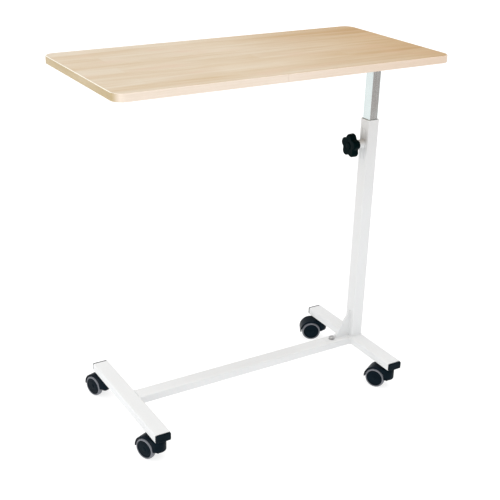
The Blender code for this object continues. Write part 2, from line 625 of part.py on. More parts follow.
def main():
    clear_scene()
    build_top()
    build_top_support()
    build_inner_tube()
    build_outer_tube()
    build_clamp()
    build_crossbar("left", CROSSBAR_LEFT_X)
    build_crossbar("right", CROSSBAR_RIGHT_X)
    build_beam()
    build_joint_bolt()
    build_gusset()
    build_castors()
    move_into_frame()
    bpy.context.view_layer.update()


main()
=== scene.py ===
"""Overbed table: finishes and finely made pieces over the packed model.

Metres, +Z up, in the packed model's frame. Sizes and colours that a user would change are in the
property groups; each operator makes one group of pieces.
"""
import json
import math

import bmesh
import bpy
from bpy.props import FloatProperty, FloatVectorProperty, PointerProperty
from bpy.types import Operator, Panel, PropertyGroup
from mathutils import Matrix, Vector, noise

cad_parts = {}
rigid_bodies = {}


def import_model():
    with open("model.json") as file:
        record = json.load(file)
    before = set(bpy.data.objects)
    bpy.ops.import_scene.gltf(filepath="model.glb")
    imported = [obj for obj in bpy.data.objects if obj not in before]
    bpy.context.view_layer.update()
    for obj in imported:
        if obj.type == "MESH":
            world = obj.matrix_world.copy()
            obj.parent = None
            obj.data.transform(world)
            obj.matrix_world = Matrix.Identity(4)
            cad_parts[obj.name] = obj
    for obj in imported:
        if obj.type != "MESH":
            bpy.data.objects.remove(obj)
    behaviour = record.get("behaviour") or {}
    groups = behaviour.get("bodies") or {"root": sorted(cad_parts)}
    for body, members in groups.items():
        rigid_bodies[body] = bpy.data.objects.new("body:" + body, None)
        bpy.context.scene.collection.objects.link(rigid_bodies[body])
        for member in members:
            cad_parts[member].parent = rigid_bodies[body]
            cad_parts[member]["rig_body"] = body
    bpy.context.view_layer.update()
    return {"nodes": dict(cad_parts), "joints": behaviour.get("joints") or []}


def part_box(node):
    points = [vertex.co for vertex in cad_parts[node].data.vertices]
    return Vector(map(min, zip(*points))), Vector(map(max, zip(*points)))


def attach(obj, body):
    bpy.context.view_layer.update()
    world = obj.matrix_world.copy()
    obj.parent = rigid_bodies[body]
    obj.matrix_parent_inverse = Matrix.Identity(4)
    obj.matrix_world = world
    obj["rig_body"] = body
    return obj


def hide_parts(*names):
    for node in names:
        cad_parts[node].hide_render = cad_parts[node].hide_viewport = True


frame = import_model()

bl_info = {
    "name": "Overbed table",
    "version": (1, 0, 0),
    "blender": (4, 5, 0),
    "location": "View3D > Sidebar > Overbed table",
    "description": "Makes the pieces, finishes and studio of an overbed table",
    "category": "Object",
}

CASTOR_LABELS = ("front_left", "back_left", "front_right", "back_right")
JOINTS = {joint["name"]: joint for joint in frame["joints"]}
GAP = 0.0003                    # clearance between pieces that touch
BAND_JOINT_X = -0.028           # joint between the two ends of the edge band
STITCH_STARTS = (0.095, 0.175, 0.255)
STITCH_LENGTH = 0.028           # weld beads along the arm under the top
CAMERA_ANGLES = (-30.90, 23.97, 1.34)       # azimuth, elevation and roll in degrees
CAMERA_TARGET = (-0.03414, -0.02576, 0.39089)
CAMERA_DISTANCE = 2.18596
CAMERA_SHIFT = (0.0256, 0.00986)
KEY_DIRECTION = (0.075, 0.03, -0.50)
BOSS_BORE = 0.0053
HEXAGON_RADIUS = 0.0073         # over the corners of the joint bolt and nut
SHANK_RADIUS = 0.0040           # bolts and castor stems
WASHER_BORE = 0.0043
WHEEL_RADIUS = 0.0250
WHEEL_INNER, WHEEL_OUTER = 0.0088, 0.0218   # faces of a wheel, from the castor's middle plane
CORE_RADIUS = 0.0075            # core in the castor's web that holds the stem
CORE_BOTTOM, CORE_TOP = 0.0195, 0.0525


# ---------------------------------------------------------------- settings
def colour(name, description, default):
    return FloatVectorProperty(name=name, description=description, default=default, size=3,
                               min=0.0, max=1.0, subtype="COLOR")


def length(name, description, default):
    return FloatProperty(name=name, description=description, default=default, min=0.0,
                         precision=4, unit="LENGTH")


class TableFinishes(PropertyGroup):
    """Colours of the table's finishes."""
    wood_light: colour("Wood, light grain", "Light grain of the beech laminate", (0.645, 0.549, 0.425))
    wood_dark: colour("Wood, dark grain", "Dark grain of the beech laminate", (0.540, 0.386, 0.214))
    # Also the colour of the painted shade towards the edge band's right end.
    wood_blush_and_shade: colour("Wood, blush", "Warm patches in the beech laminate", (0.620, 0.450, 0.318))
    band_long: colour("Band, long sides", "Edge band along the long sides", (0.832, 0.718, 0.614))
    # Painted shade: colour of the band's faces at the short ends, darker as if in shade.
    band_end_shade: colour("Band, ends", "Edge band round the short ends", (0.446, 0.342, 0.176))
    # Painted highlight: pale cream on the band's upward-facing upper edge at the short ends.
    band_arris_highlight: colour("Band, arris", "Upper edge of the band at the short ends", (0.900, 0.860, 0.760))
    powder_coat: colour("Powder coat", "White powder coat on column and base", (0.765, 0.774, 0.780))
    bright_plate: colour("Bright plating", "Plating of the inner tube", (0.655, 0.720, 0.715))
    zinc: colour("Zinc", "Zinc plating of bolts and screws", (0.560, 0.575, 0.610))
    black_paint: colour("Black paint", "Paint of the steel under the top", (0.018, 0.018, 0.019))
    black_plastic: colour("Black plastic", "Hoods, wheel centres and end caps", (0.0026, 0.0060, 0.0100))
    knob_plastic: colour("Knob plastic", "The clamp's knob", (0.0005, 0.0046, 0.0050))
    nylon: colour("Nylon", "Guide bush and glide", (0.760, 0.760, 0.745))
    tyre_grey: colour("Tyre grey", "Rubber of the castor tyres", (0.150, 0.156, 0.176))
    brass: colour("Brass", "The clamp's pad", (0.700, 0.500, 0.220))


class TopSizes(PropertyGroup):
    """Sizes of the top's details."""
    corner: length("Corner radius", "Radius of the top's corners in plan", 0.026)
    band_thickness: length("Band thickness", "Thickness of the edge band", 0.002)
    band_rounding: length("Band rounding", "Rounding of the band's upper and lower edges", 0.0009)
    seam_width: length("Seam width", "Joint between the two ends of the edge band", 0.0004)
    stave_length: length("Stave length", "Length of a stave in the laminate's pattern", 0.310)
    stave_width: length("Stave width", "Width of a stave in the laminate's pattern", 0.0475)


class TubeSizes(PropertyGroup):
    """Sizes of the tubes' details."""
    wall: length("Wall", "Wall of all tubes", 0.0015)
    outer_corner: length("Column corner", "Corner radius of the column's outer tube", 0.0035)
    inner_corner: length("Inner tube corner", "Corner radius of the column's inner tube", 0.003)
    base_corner: length("Base corner", "Corner radius of the base tubes", 0.003)
    rim: length("Rim rounding", "Rounding of a tube's cut rim", 0.0004)
    groove_width: length("Groove width", "Width of the column's pressed grooves", 0.0016)
    groove_depth: length("Groove depth", "Depth of the column's pressed grooves", 0.0012)
    groove_spacing: length("Groove spacing", "Distance between the column's two grooves", 0.012)
    groove_length: length("Groove length", "Length of the column's pressed grooves", 0.077)
    weld_radius: length("Weld radius", "Half the width of a weld bead", 0.0017)
    weld_ripple: length("Weld ripple", "Distance between two ripples of a weld bead", 0.0017)


class ClampSizes(PropertyGroup):
    """Sizes of the clamp's knob and stud."""
    lobe_depth: length("Lobe depth", "Depth of the notches between the knob's lobes", 0.0064)
    front_rounding: length("Front rounding", "Rounding of the knob's front edge", 0.0042)
    back_rounding: length("Back rounding", "Rounding of the knob's back edge", 0.0022)
    cap_radius: length("Cap radius", "Radius of the cap in the knob's face", 0.0088)
    thread_pitch: length("Thread pitch", "Pitch of the stud's thread", 0.0015)
    thread_depth: length("Thread depth", "Depth of the stud's thread", 0.00075)


class CastorSizes(PropertyGroup):
    """Sizes of the castors' hoods and wheels."""
    hood_radius: length("Hood radius", "Outer radius of the hood about the axle", 0.0298)
    hood_wall: length("Hood wall", "Wall of the hood", 0.003)
    hood_width: length("Hood width", "Width of the hood and of its round front", 0.038)
    hood_shoulder: length("Hood shoulder", "Rounding between the hood's top and its front", 0.006)
    hood_bottom: length("Hood bottom", "Height of the front's lower edge", 0.0268)
    hood_rim: length("Hood rim", "Rounding of the hood's side edges", 0.0013)
    pocket_depth: length("Pocket depth", "Depth of the pocket in the hood's front", 0.025)
    web_width: length("Web width", "Width of the web between the wheels", 0.016)
    neck_radius: length("Neck radius", "Radius of the neck that turns on the stem", 0.0105)
    tyre_bore: length("Tyre bore", "Radius of the wheel centre inside the tyre", 0.0207)
    axle_radius: length("Axle radius", "Radius of the axle", 0.0025)


class StudioSettings(PropertyGroup):
    """Floor, lights and camera of the studio."""
    floor_radius: length("Floor radius", "Radius of the pale floor", 40.0)
    sky: FloatProperty(name="Sky", description="Brightness of the room overhead", default=0.60, min=0.0)
    horizon: FloatProperty(name="Horizon", description="Brightness of the room's walls", default=0.85,
                           min=0.0)
    key_light: FloatProperty(name="Key light", description="Strength of the large soft light overhead",
                             default=2.05, min=0.0)
    key_softness: FloatProperty(name="Key softness", description="Apparent width of the soft light overhead",
                                default=math.radians(75), min=0.0, max=math.pi, subtype="ANGLE")
    end_light: FloatProperty(name="End light", description="Power of the low softbox beyond the free end",
                             default=14.0, min=0.0, unit="POWER")
    lens: FloatProperty(name="Lens", description="Focal length of the camera", default=68.2,
                        min=1.0, unit="CAMERA")


# ---------------------------------------------------------------- node materials
class Finish:
    """A node material in the making; colours and numbers go to the shader's own sockets."""

    def __init__(self, name, **shader_values):
        self.material = bpy.data.materials.new(name)
        self.material.use_nodes = True
        self.tree = self.material.node_tree
        self.shader = self.tree.nodes["Principled BSDF"]
        for socket, value in shader_values.items():
            self.fill(self.shader, socket.replace("_", " "), value)

    def fill(self, node, socket, value):
        target = node.inputs[socket]
        if isinstance(value, bpy.types.NodeSocket):
            self.tree.links.new(value, target)
        elif target.type == "RGBA" and len(value) == 3:
            target.default_value = (*value, 1.0)
        else:
            target.default_value = value

    def node(self, kind, inputs=None, **settings):
        made = self.tree.nodes.new("ShaderNode" + kind)
        for setting, value in settings.items():
            setattr(made, setting, value)
        for socket, value in (inputs or {}).items():
            self.fill(made, socket, value)
        return made

    def place(self, scale=(1, 1, 1), location=(0, 0, 0), rotation=(0, 0, 0)):
        """Object coordinates, moved, turned and stretched."""
        source = self.node("TexCoord").outputs["Object"]
        return self.node("Mapping", {"Vector": source, "Scale": scale, "Location": location,
                                     "Rotation": rotation}).outputs["Vector"]

    def noise(self, vector, scale, detail=3.0, roughness=0.5, distortion=0.0):
        return self.node("TexNoise", {"Vector": vector, "Scale": scale, "Detail": detail,
                                      "Roughness": roughness, "Distortion": distortion}).outputs["Fac"]

    def remap(self, value, low, high, to_low=0.0, to_high=1.0):
        return self.node("MapRange", {"Value": value, "From Min": low, "From Max": high,
                                      "To Min": to_low, "To Max": to_high}).outputs["Result"]

    def math(self, operation, first, second):
        return self.node("Math", {0: first, 1: second}, operation=operation).outputs["Value"]

    def mix(self, factor, first, second, blend="MIX"):
        made = self.node("Mix", data_type="RGBA", blend_type=blend)
        self.fill(made, 0, factor)
        self.fill(made, 6, first)
        self.fill(made, 7, second)
        return made.outputs[2]

    def layer(self, base, value, low, high, amount, colour_over):
        """Lay a colour over the base where the value is high, up to the given amount."""
        return self.mix(self.remap(value, low, high, 0.0, amount), base, colour_over)

    def bump(self, height, strength, distance, below=None):
        inputs = {"Height": height, "Strength": strength, "Distance": distance}
        if below is not None:
            inputs["Normal"] = below
        return self.node("Bump", inputs).outputs["Normal"]

    def finish(self, base=None, roughness=None, normal=None):
        for socket, value in (("Base Color", base), ("Roughness", roughness), ("Normal", normal)):
            if value is not None:
                self.fill(self.shader, socket, value)
        return self.material


def shade(rgb, factor):
    """The colour made lighter or darker."""
    return tuple(min(1.0, part * factor) for part in rgb)


def beech_laminate(colours):
    """Beech staves along X, each with its own tint, streaky grain, pores and warm patches, with painted shade
    that darkens the board towards its right end.
    """
    made = Finish("beech_laminate", IOR=1.45)
    sizes = bpy.context.scene.table_top_sizes
    flat = made.place()
    staves = made.node("TexBrick", {
        "Vector": flat, "Color1": (0, 0, 0), "Color2": (1, 1, 1), "Mortar": (0.35, 0.35, 0.35), "Scale": 1.0,
        "Mortar Size": 0.00035, "Mortar Smooth": 0.6, "Bias": 0.0, "Brick Width": sizes.stave_length,
        "Row Height": sizes.stave_width}, offset=0.37, offset_frequency=2, squash=1.0)
    tint = staves.outputs["Color"]
    joints = staves.outputs["Fac"]
    broad = made.noise(made.place(scale=(2.2, 34, 34)), 1.0, 4.0, 0.55, 0.6)
    streaks = made.noise(made.place(scale=(9, 260, 260)), 1.0, 5.0, 0.6, 0.25)
    pores = made.noise(made.place(scale=(110, 1500, 1500)), 1.0, 2.0, 0.5)
    patches = made.noise(made.place(scale=(7.5, 19, 19), location=(3.1, 0.4, 0.0)), 1.0, 2.0, 0.5)
    cloud = made.noise(made.place(scale=(3.4, 8.0, 8.0), location=(7.7, 2.2, 0.0)), 1.0, 3.0, 0.6)
    grain = made.math("ADD", made.remap(broad, 0.32, 0.72, -0.10, 0.70),
                      made.remap(streaks, 0.35, 0.75, -0.10, 0.50))
    grain = made.math("ADD", grain, made.remap(tint, 0.0, 1.0, -0.10, 0.26))
    place = made.node("SeparateXYZ", {"Vector": flat}).outputs
    # Painted shade: the board grows darker towards its right end (+X); the next line makes it lighter towards
    # the front.
    grain = made.math("ADD", grain, made.remap(place["X"], -0.40, 0.40, -0.12, 0.22))
    grain = made.math("ADD", grain, made.remap(place["Y"], -0.19, 0.19, -0.20, 0.08))
    base = made.mix(grain, colours.wood_light, colours.wood_dark)
    base = made.layer(base, patches, 0.55, 0.74, 0.70, colours.wood_blush_and_shade)
    base = made.layer(base, cloud, 0.50, 0.80, 0.45, shade(colours.wood_light, 1.08))
    base = made.layer(base, pores, 0.60, 0.78, 0.22, shade(colours.wood_dark, 0.72))
    base = made.layer(base, joints, 0.0, 1.0, 0.20, shade(colours.wood_dark, 0.80))
    # Painted shade: a warm brown multiplies the right half, strongest at the right end.
    base = made.mix(made.remap(place["X"], 0.0, 0.42), base, (0.800, 0.640, 0.410), "MULTIPLY")
    bumps = made.bump(streaks, 0.10, 0.0002)
    return made.finish(base, made.remap(broad, 0.3, 0.7, 0.40, 0.50), made.bump(pores, 0.06, 0.0001, bumps))


def edge_band_laminate(colours):
    """Pale band with fine lengthwise grain; painted shade makes it darker and more honey-coloured round the
    short ends and darker towards its right end, and a painted highlight lies along the ends' upper edge.
    """
    made = Finish("edge_band_laminate", IOR=1.45)
    along = made.place()
    lines = made.noise(made.place(scale=(6, 6, 900)), 1.0, 4.0, 0.6, 0.1)
    flecks = made.noise(made.place(scale=(40, 40, 1400)), 1.0, 2.0, 0.5)
    broad = made.noise(made.place(scale=(5, 5, 40)), 1.0, 2.0, 0.5)
    reach = made.node("SeparateXYZ", {"Vector": along}).outputs["X"]
    distance = made.node("Math", {0: reach}, operation="ABSOLUTE").outputs["Value"]
    outwards = made.node("SeparateXYZ", {"Vector": made.node("TexCoord").outputs["Normal"]}).outputs
    facing = made.node("Math", {0: outwards["X"]}, operation="ABSOLUTE").outputs["Value"]
    # Painted shade: faces at the short ends that look along X take the darker end colour.
    end = made.math("MULTIPLY", made.remap(distance, 0.372, 0.396), made.remap(facing, 0.55, 0.95))
    # Painted highlight: the upward-facing upper edge at the short ends turns pale cream.
    arris_highlight = made.math("MULTIPLY", made.remap(distance, 0.385, 0.397), made.remap(outwards["Z"], 0.25, 0.60))
    base = made.mix(end, colours.band_long, colours.band_end_shade)
    # Painted shade: the band grows darker towards its right end.
    base = made.layer(base, reach, -0.05, 0.40, 0.58, shade(colours.wood_blush_and_shade, 1.10))
    base = made.layer(base, lines, 0.40, 0.75, 0.30, shade(colours.wood_dark, 1.15))
    base = made.layer(base, broad, 0.45, 0.75, 0.25, shade(colours.wood_light, 1.15))
    base = made.layer(base, flecks, 0.62, 0.80, 0.25, shade(colours.wood_dark, 0.85))
    base = made.mix(arris_highlight, base, colours.band_arris_highlight)
    return made.finish(base, made.remap(lines, 0.3, 0.7, 0.40, 0.50), made.bump(lines, 0.08, 0.0001))


def white_powder_coat(colours):
    """Orange peel of a baked powder coat, with a few specks, a faint change of tone and painted shade in the
    peel's low places.
    """
    made = Finish("white_powder_coat", IOR=1.45)
    here = made.place()
    peel = made.noise(here, 620.0, 2.0, 0.45)
    fine = made.noise(here, 2400.0, 2.0, 0.5)
    tone = made.noise(here, 9.0, 3.0, 0.5)
    specks = made.node("TexVoronoi", {"Vector": here, "Scale": 210.0}, feature="F1").outputs["Distance"]
    base = made.mix(made.remap(tone, 0.3, 0.7), shade(colours.powder_coat, 0.985),
                    shade(colours.powder_coat, 1.012))
    base = made.layer(base, specks, 0.055, 0.035, 0.16, shade(colours.powder_coat, 0.72))
    # Painted shade: the low places of the orange peel are a touch darker.
    base = made.mix(made.remap(peel, 0.35, 0.65, 0.05, 0.0), base, shade(colours.powder_coat, 0.80))
    normal = made.bump(fine, 0.03, 0.0001, made.bump(peel, 0.10, 0.0004))
    return made.finish(base, made.remap(peel, 0.3, 0.7, 0.34, 0.46), normal)


def bright_chrome(colours):
    """Bright plated tube with fine draw lines along Z and a faint haze."""
    made = Finish("bright_chrome", Metallic=1.0)
    lines = made.noise(made.place(scale=(2600, 2600, 14)), 1.0, 3.0, 0.6)
    scratches = made.noise(made.place(scale=(900, 900, 3.5), location=(0.3, 1.7, 0)), 1.0, 2.0, 0.5)
    haze = made.noise(made.place(), 38.0, 4.0, 0.6)
    base = made.mix(made.remap(haze, 0.35, 0.7), colours.bright_plate, shade(colours.bright_plate, 0.93))
    base = made.layer(base, lines, 0.5, 0.8, 0.35, shade(colours.bright_plate, 0.80))
    roughness = made.math("ADD", made.remap(haze, 0.3, 0.7, 0.16, 0.25),
                          made.remap(scratches, 0.55, 0.75, 0.0, 0.12))
    return made.finish(base, roughness, made.bump(lines, 0.04, 0.0001))


def zinc_steel(colours):
    """Zinc plating with faint spangle and a blue and straw-coloured passivation."""
    made = Finish("zinc_steel", Metallic=1.0)
    here = made.place()
    spangle = made.node("TexVoronoi", {"Vector": here, "Scale": 900.0}, feature="F1").outputs["Color"]
    patches = made.noise(here, 160.0, 3.0, 0.5)
    fine = made.noise(here, 3000.0, 2.0, 0.5)
    straw = (colours.zinc[0] * 1.06, colours.zinc[1], colours.zinc[2] * 0.86)
    base = made.mix(made.remap(patches, 0.35, 0.70), colours.zinc, straw)
    base = made.layer(base, spangle, 0.2, 0.9, 0.35, shade(colours.zinc, 0.78))
    return made.finish(base, made.remap(patches, 0.3, 0.7, 0.26, 0.42), made.bump(fine, 0.06, 0.0001))


def black_painted_steel(colours):
    """Satin black paint with orange peel and patches of dust."""
    made = Finish("black_painted_steel", IOR=1.45)
    here = made.place()
    peel = made.noise(here, 700.0, 2.0, 0.5)
    dust = made.noise(here, 26.0, 5.0, 0.65)
    base = made.layer(colours.black_paint, dust, 0.48, 0.80, 0.35, shade(colours.black_paint, 2.6))
    return made.finish(base, made.remap(dust, 0.3, 0.7, 0.40, 0.58), made.bump(peel, 0.12, 0.0003))


def moulded(name, base_colour, roughness, lustre, grain_scale=1900.0):
    """Moulded black plastic: spark-eroded grain, flow marks and a few rubbed places."""
    made = Finish(name, Specular_IOR_Level=lustre, Specular_Tint=(0.62, 0.95, 1.0))
    here = made.place()
    grain = made.noise(here, grain_scale, 3.0, 0.55)
    flow = made.noise(made.place(scale=(30, 30, 75)), 1.0, 3.0, 0.5, 1.2)
    rubbed = made.noise(here, 120.0, 4.0, 0.6)
    base = made.mix(made.remap(flow, 0.35, 0.70, 0.0, 0.6), base_colour, shade(base_colour, 1.9))
    base = made.layer(base, rubbed, 0.62, 0.80, 0.30, shade(base_colour, 4.0))
    low, high = roughness
    shine = made.math("ADD", made.remap(flow, 0.3, 0.7, low, high),
                      made.remap(rubbed, 0.55, 0.75, 0.0, -0.05))
    return made.finish(base, shine, made.bump(grain, 0.10, 0.0002))


def black_plastic(colours):
    return moulded("black_plastic", colours.black_plastic, (0.30, 0.42), 0.048)


def knob_plastic(colours):
    return moulded("knob_plastic", colours.knob_plastic, (0.24, 0.36), 0.022, 1300.0)


def natural_nylon(colours):
    """Milky moulded nylon."""
    made = Finish("natural_nylon", IOR=1.53)
    here = made.place()
    cloud = made.noise(here, 60.0, 3.0, 0.5)
    grain = made.noise(here, 1600.0, 2.0, 0.5)
    base = made.mix(made.remap(cloud, 0.3, 0.7), colours.nylon, shade(colours.nylon, 0.92))
    return made.finish(base, made.remap(cloud, 0.3, 0.7, 0.40, 0.52), made.bump(grain, 0.08, 0.0002))


def grey_tyre_rubber(colours):
    """Grey rubber with fine light speckle and a faint mottle."""
    made = Finish("grey_tyre_rubber", Specular_IOR_Level=0.25)
    here = made.place()
    speckle = made.noise(here, 2200.0, 2.0, 0.5)
    mottle = made.noise(here, 240.0, 4.0, 0.6)
    base = made.mix(made.remap(mottle, 0.35, 0.70), colours.tyre_grey, shade(colours.tyre_grey, 1.35))
    base = made.layer(base, speckle, 0.60, 0.80, 0.4, shade(colours.tyre_grey, 1.9))
    return made.finish(base, made.remap(mottle, 0.3, 0.7, 0.38, 0.55), made.bump(speckle, 0.12, 0.0002))


def brass(colours):
    """Turned brass with tool lines."""
    made = Finish("brass", Metallic=1.0)
    lines = made.noise(made.place(scale=(4200, 60, 60)), 1.0, 2.0, 0.5)
    tarnish = made.noise(made.place(), 300.0, 3.0, 0.6)
    base = made.mix(made.remap(tarnish, 0.4, 0.75, 0.0, 0.5), colours.brass, shade(colours.brass, 0.7))
    return made.finish(base, made.remap(tarnish, 0.3, 0.7, 0.24, 0.38), made.bump(lines, 0.10, 0.0001))


def studio_floor():
    """Pale, softly glowing floor with a faint mottle."""
    made = Finish("studio_floor", Emission_Strength=0.78, Emission_Color=(1, 1, 1), Specular_IOR_Level=0.0)
    mottle = made.noise(made.place(), 3.0, 2.0, 0.5)
    base = made.mix(mottle, (0.33, 0.33, 0.33), (0.35, 0.35, 0.35))
    return made.finish(base, made.remap(mottle, 0.3, 0.7, 0.9, 1.0))


def flag_card(name, tone):
    """Plain toned card that glows, brighter low down and darker higher up."""
    made = Finish(name, Base_Color=(0, 0, 0), Specular_IOR_Level=0.0, Emission_Strength=1.0)
    height = made.node("SeparateXYZ", {"Vector": made.node("TexCoord").outputs["Object"]}).outputs["Z"]
    fade = made.mix(made.remap(height, 0.0, 0.9), shade(tone, 1.12), shade(tone, 0.92))
    made.fill(made.shader, "Emission Color", fade)
    return made.material


FINISHES = {maker.__name__: maker for maker in (
    beech_laminate, edge_band_laminate, white_powder_coat, bright_chrome, zinc_steel, black_painted_steel,
    black_plastic, knob_plastic, natural_nylon, grey_tyre_rubber, brass)}


def finish(name):
    """The named material, made on first use."""
    made = bpy.data.materials.get(name)
    if made is None or not made.get("overbed_table_finish"):
        made = FINISHES[name](bpy.context.scene.table_finishes)
        made["overbed_table_finish"] = True
    return made


# ---------------------------------------------------------------- pieces
def extra_piece(name, bm, finish_name, node, sharp=60.0):
    """A piece beside the CAD nodes, such as a weld bead, that rides with the node's body."""
    mesh = bpy.data.meshes.new(name)
    bm.to_mesh(mesh)
    bm.free()
    mesh.materials.append(finish(finish_name))
    mesh.shade_smooth()
    mesh.set_sharp_from_angle(angle=math.radians(sharp))
    piece = bpy.data.objects.new(name, mesh)
    bpy.context.scene.collection.objects.link(piece)
    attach(piece, frame["nodes"][node]["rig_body"])
    return piece


def add_piece(name, bm, finish_name, node, sharp=32.0):
    """A closed piece that takes the place of the CAD node."""
    loose = [edge for edge in bm.edges if not edge.is_manifold]
    if loose:
        raise RuntimeError(f"{name} has {len(loose)} open or crossed seams")
    piece = extra_piece(name, bm, finish_name, node, sharp)
    weights = piece.modifiers.new("Weighted normals", "WEIGHTED_NORMAL")
    weights.keep_sharp = True
    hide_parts(node)


def refinish(finish_name, *nodes):
    """Give kept CAD nodes their full finish."""
    for node in nodes:
        piece = frame["nodes"][node]
        piece.data.materials.clear()
        piece.data.materials.append(finish(finish_name))


def middle(node):
    low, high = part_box(node)
    return (low + high) / 2


def turned_from_z(axis, sign=1):
    """Turn that takes +Z to the given axis and keeps the shape right-handed."""
    targets = {"X": Vector((sign, 0, 0)), "Y": Vector((0, sign, 0)), "Z": Vector((0, 0, sign))}
    return targets[axis].to_track_quat("Z", "Y").to_matrix().to_4x4()


def face_out(bm):
    bmesh.ops.recalc_face_normals(bm, faces=bm.faces)


def move(bm, matrix):
    bmesh.ops.transform(bm, matrix=matrix, verts=bm.verts)


def bevel(bm, edges, offset, segments=3):
    bmesh.ops.bevel(bm, geom=list(edges), offset=offset, segments=segments, profile=0.5,
                    affect="EDGES", material=-1, clamp_overlap=True)


def sharp_edges(bm, degrees=40.0):
    limit = math.radians(degrees)
    return [edge for edge in bm.edges if edge.is_manifold and edge.calc_face_angle(0.0) > limit]


def block(low, high, axis, corner, corner_steps=8):
    """Solid block between two corners, rounded along the edges that run with the axis."""
    bm = bmesh.new()
    bmesh.ops.create_cube(bm, size=1.0)
    size = high - low
    bmesh.ops.scale(bm, vec=size, verts=bm.verts)
    bmesh.ops.translate(bm, vec=(low + high) / 2, verts=bm.verts)
    direction = Vector([float(letter == axis) for letter in "XYZ"])
    along = [edge for edge in bm.edges
             if abs((edge.verts[1].co - edge.verts[0].co).normalized().dot(direction)) > 0.99]
    bevel(bm, along, corner, corner_steps)
    return bm


def slice_faces(bm, faces, point, normal):
    """Cut the chosen faces where they cross a plane."""
    geom = dict.fromkeys(faces)
    for face in faces:
        geom.update(dict.fromkeys(face.edges))
        geom.update(dict.fromkeys(face.verts))
    bmesh.ops.bisect_plane(bm, geom=list(geom), dist=1e-7, plane_co=point, plane_no=normal)


def end_faces(bm, axis):
    index = "XYZ".index(axis)
    return [face for face in bm.faces if abs(face.normal[index]) > 0.99]


def tube(low, high, axis, corner, wall, rim, corner_steps=8):
    """Hollow tube between two corners with softened rims."""
    bm = block(low, high, axis, corner, corner_steps)
    bmesh.ops.delete(bm, geom=end_faces(bm, axis), context="FACES")
    face_out(bm)
    bmesh.ops.solidify(bm, geom=bm.faces[:], thickness=wall)
    bm.normal_update()
    bevel(bm, sharp_edges(bm, 60.0), rim, 2)
    face_out(bm)
    return bm


def turning(profile, steps, centre=(0, 0, 0)):
    """Solid of revolution about Z from (radius, height) points that start and end on the axis."""
    bm = bmesh.new()
    verts = [bm.verts.new((radius, 0, height)) for radius, height in profile]
    edges = [bm.edges.new(pair) for pair in zip(verts, verts[1:])]
    if profile[0][0] > 0:
        edges.append(bm.edges.new((verts[-1], verts[0])))
    bmesh.ops.spin(bm, geom=verts + edges, cent=(0, 0, 0), axis=(0, 0, 1), dvec=(0, 0, 0),
                   angle=math.tau, steps=steps, use_merge=True, use_duplicate=False)
    bmesh.ops.remove_doubles(bm, verts=bm.verts, dist=1e-7)
    face_out(bm)
    bmesh.ops.translate(bm, vec=centre, verts=bm.verts)
    return bm


def arc(centre, radius, start, end, steps):
    """Points on a circle between two angles in degrees."""
    return [(centre[0] + radius * math.cos(math.radians(start + (end - start) * step / steps)),
             centre[1] + radius * math.sin(math.radians(start + (end - start) * step / steps)))
            for step in range(steps + 1)]


def rounded(points, radius, steps=3):
    """The profile with its inner corners rounded; radius is one number or one for each point."""
    if not isinstance(radius, (list, tuple)):
        radius = [radius] * len(points)
    result = [Vector(points[0])]
    for before, here, after, size in zip(points, points[1:], points[2:], radius[1:]):
        before, here, after = Vector(before), Vector(here), Vector(after)
        size = min(size, (before - here).length * 0.45, (after - here).length * 0.45)
        if size < 1e-6:
            result.append(here)
            continue
        start = here + (before - here).normalized() * size
        end = here + (after - here).normalized() * size
        for step in range(steps + 1):
            t = step / steps
            result.append(start * (1 - t) ** 2 + here * 2 * t * (1 - t) + end * t ** 2)
    result.append(Vector(points[-1]))
    return [(point.x, point.y) for point in result]


def joined(target, *others):
    """Put several meshes in one."""
    for other in others:
        temporary = bpy.data.meshes.new("joining")
        other.to_mesh(temporary)
        other.free()
        target.from_mesh(temporary)
        bpy.data.meshes.remove(temporary)
    return target


def ring_edges(made):
    """The new verts of an extrusion and the edges that join them to each other."""
    verts = {item for item in made if isinstance(item, bmesh.types.BMVert)}
    edges = [item for item in made if isinstance(item, bmesh.types.BMEdge)
             and item.verts[0] in verts and item.verts[1] in verts]
    return verts, edges


def loft(loops, closed=False):
    """Solid through loops of points, capped at both ends or, if closed, bridged from last to first."""
    bm = bmesh.new()
    ring = bmesh.ops.create_circle(bm, segments=len(loops[0]), radius=1.0)["verts"]
    first = edges = bm.edges[:]
    for number, points in enumerate(loops):
        if number:
            verts, edges = ring_edges(bmesh.ops.extrude_edge_only(bm, edges=edges)["geom"])
            ring = [next(edge.other_vert(vert) for edge in vert.link_edges if edge.other_vert(vert) in verts)
                    for vert in ring]
        for vert, point in zip(ring, points):
            vert.co = point
    if closed:
        bmesh.ops.bridge_loops(bm, edges=first + edges)
    else:
        bmesh.ops.edgeloop_fill(bm, edges=first)
        bmesh.ops.edgeloop_fill(bm, edges=edges)
    face_out(bm)
    return bm


def round_loop(height, radius_at, segments):
    """Points about Z; the radius is a number or depends on the angle."""
    points = []
    for number in range(segments):
        angle = math.tau * number / segments
        radius = radius_at(angle) if callable(radius_at) else radius_at
        points.append((radius * math.cos(angle), radius * math.sin(angle), height))
    return points


def ripple(position, pitch):
    """Size of a weld bead along its run, as a share of its radius."""
    wave = (position / pitch) % 1.0
    wander = noise.noise((position * 120.0, 0.3, 0.7))
    return 0.92 + 0.16 * math.sin(math.pi * wave) - 0.06 * wave + 0.06 * wander


def weld(start, end, radius, pitch, sides=8):
    """Straight weld bead with overlapping ripples and round ends."""
    start, end = Vector(start), Vector(end)
    run = end - start
    turn = run.to_track_quat("Z", "Y").to_matrix().to_4x4()
    steps = max(4, int(run.length / (pitch / 4)))
    rings = []
    for step in range(steps + 1):
        position = run.length * step / steps
        from_end = min(position, run.length - position)
        taper = math.sqrt(max(0.04, 1 - max(0.0, 1 - from_end / radius) ** 2))
        size = radius * taper * ripple(position, pitch)
        rings.append(round_loop(position, size, sides))
    bm = loft(rings)
    move(bm, Matrix.Translation(start) @ turn)
    return bm


def weld_loop(corners, radius, pitch):
    """Weld beads along a closed run of corners."""
    beads = [weld(a, b, radius, pitch) for a, b in zip(corners, corners[1:] + corners[:1])]
    return joined(*beads)


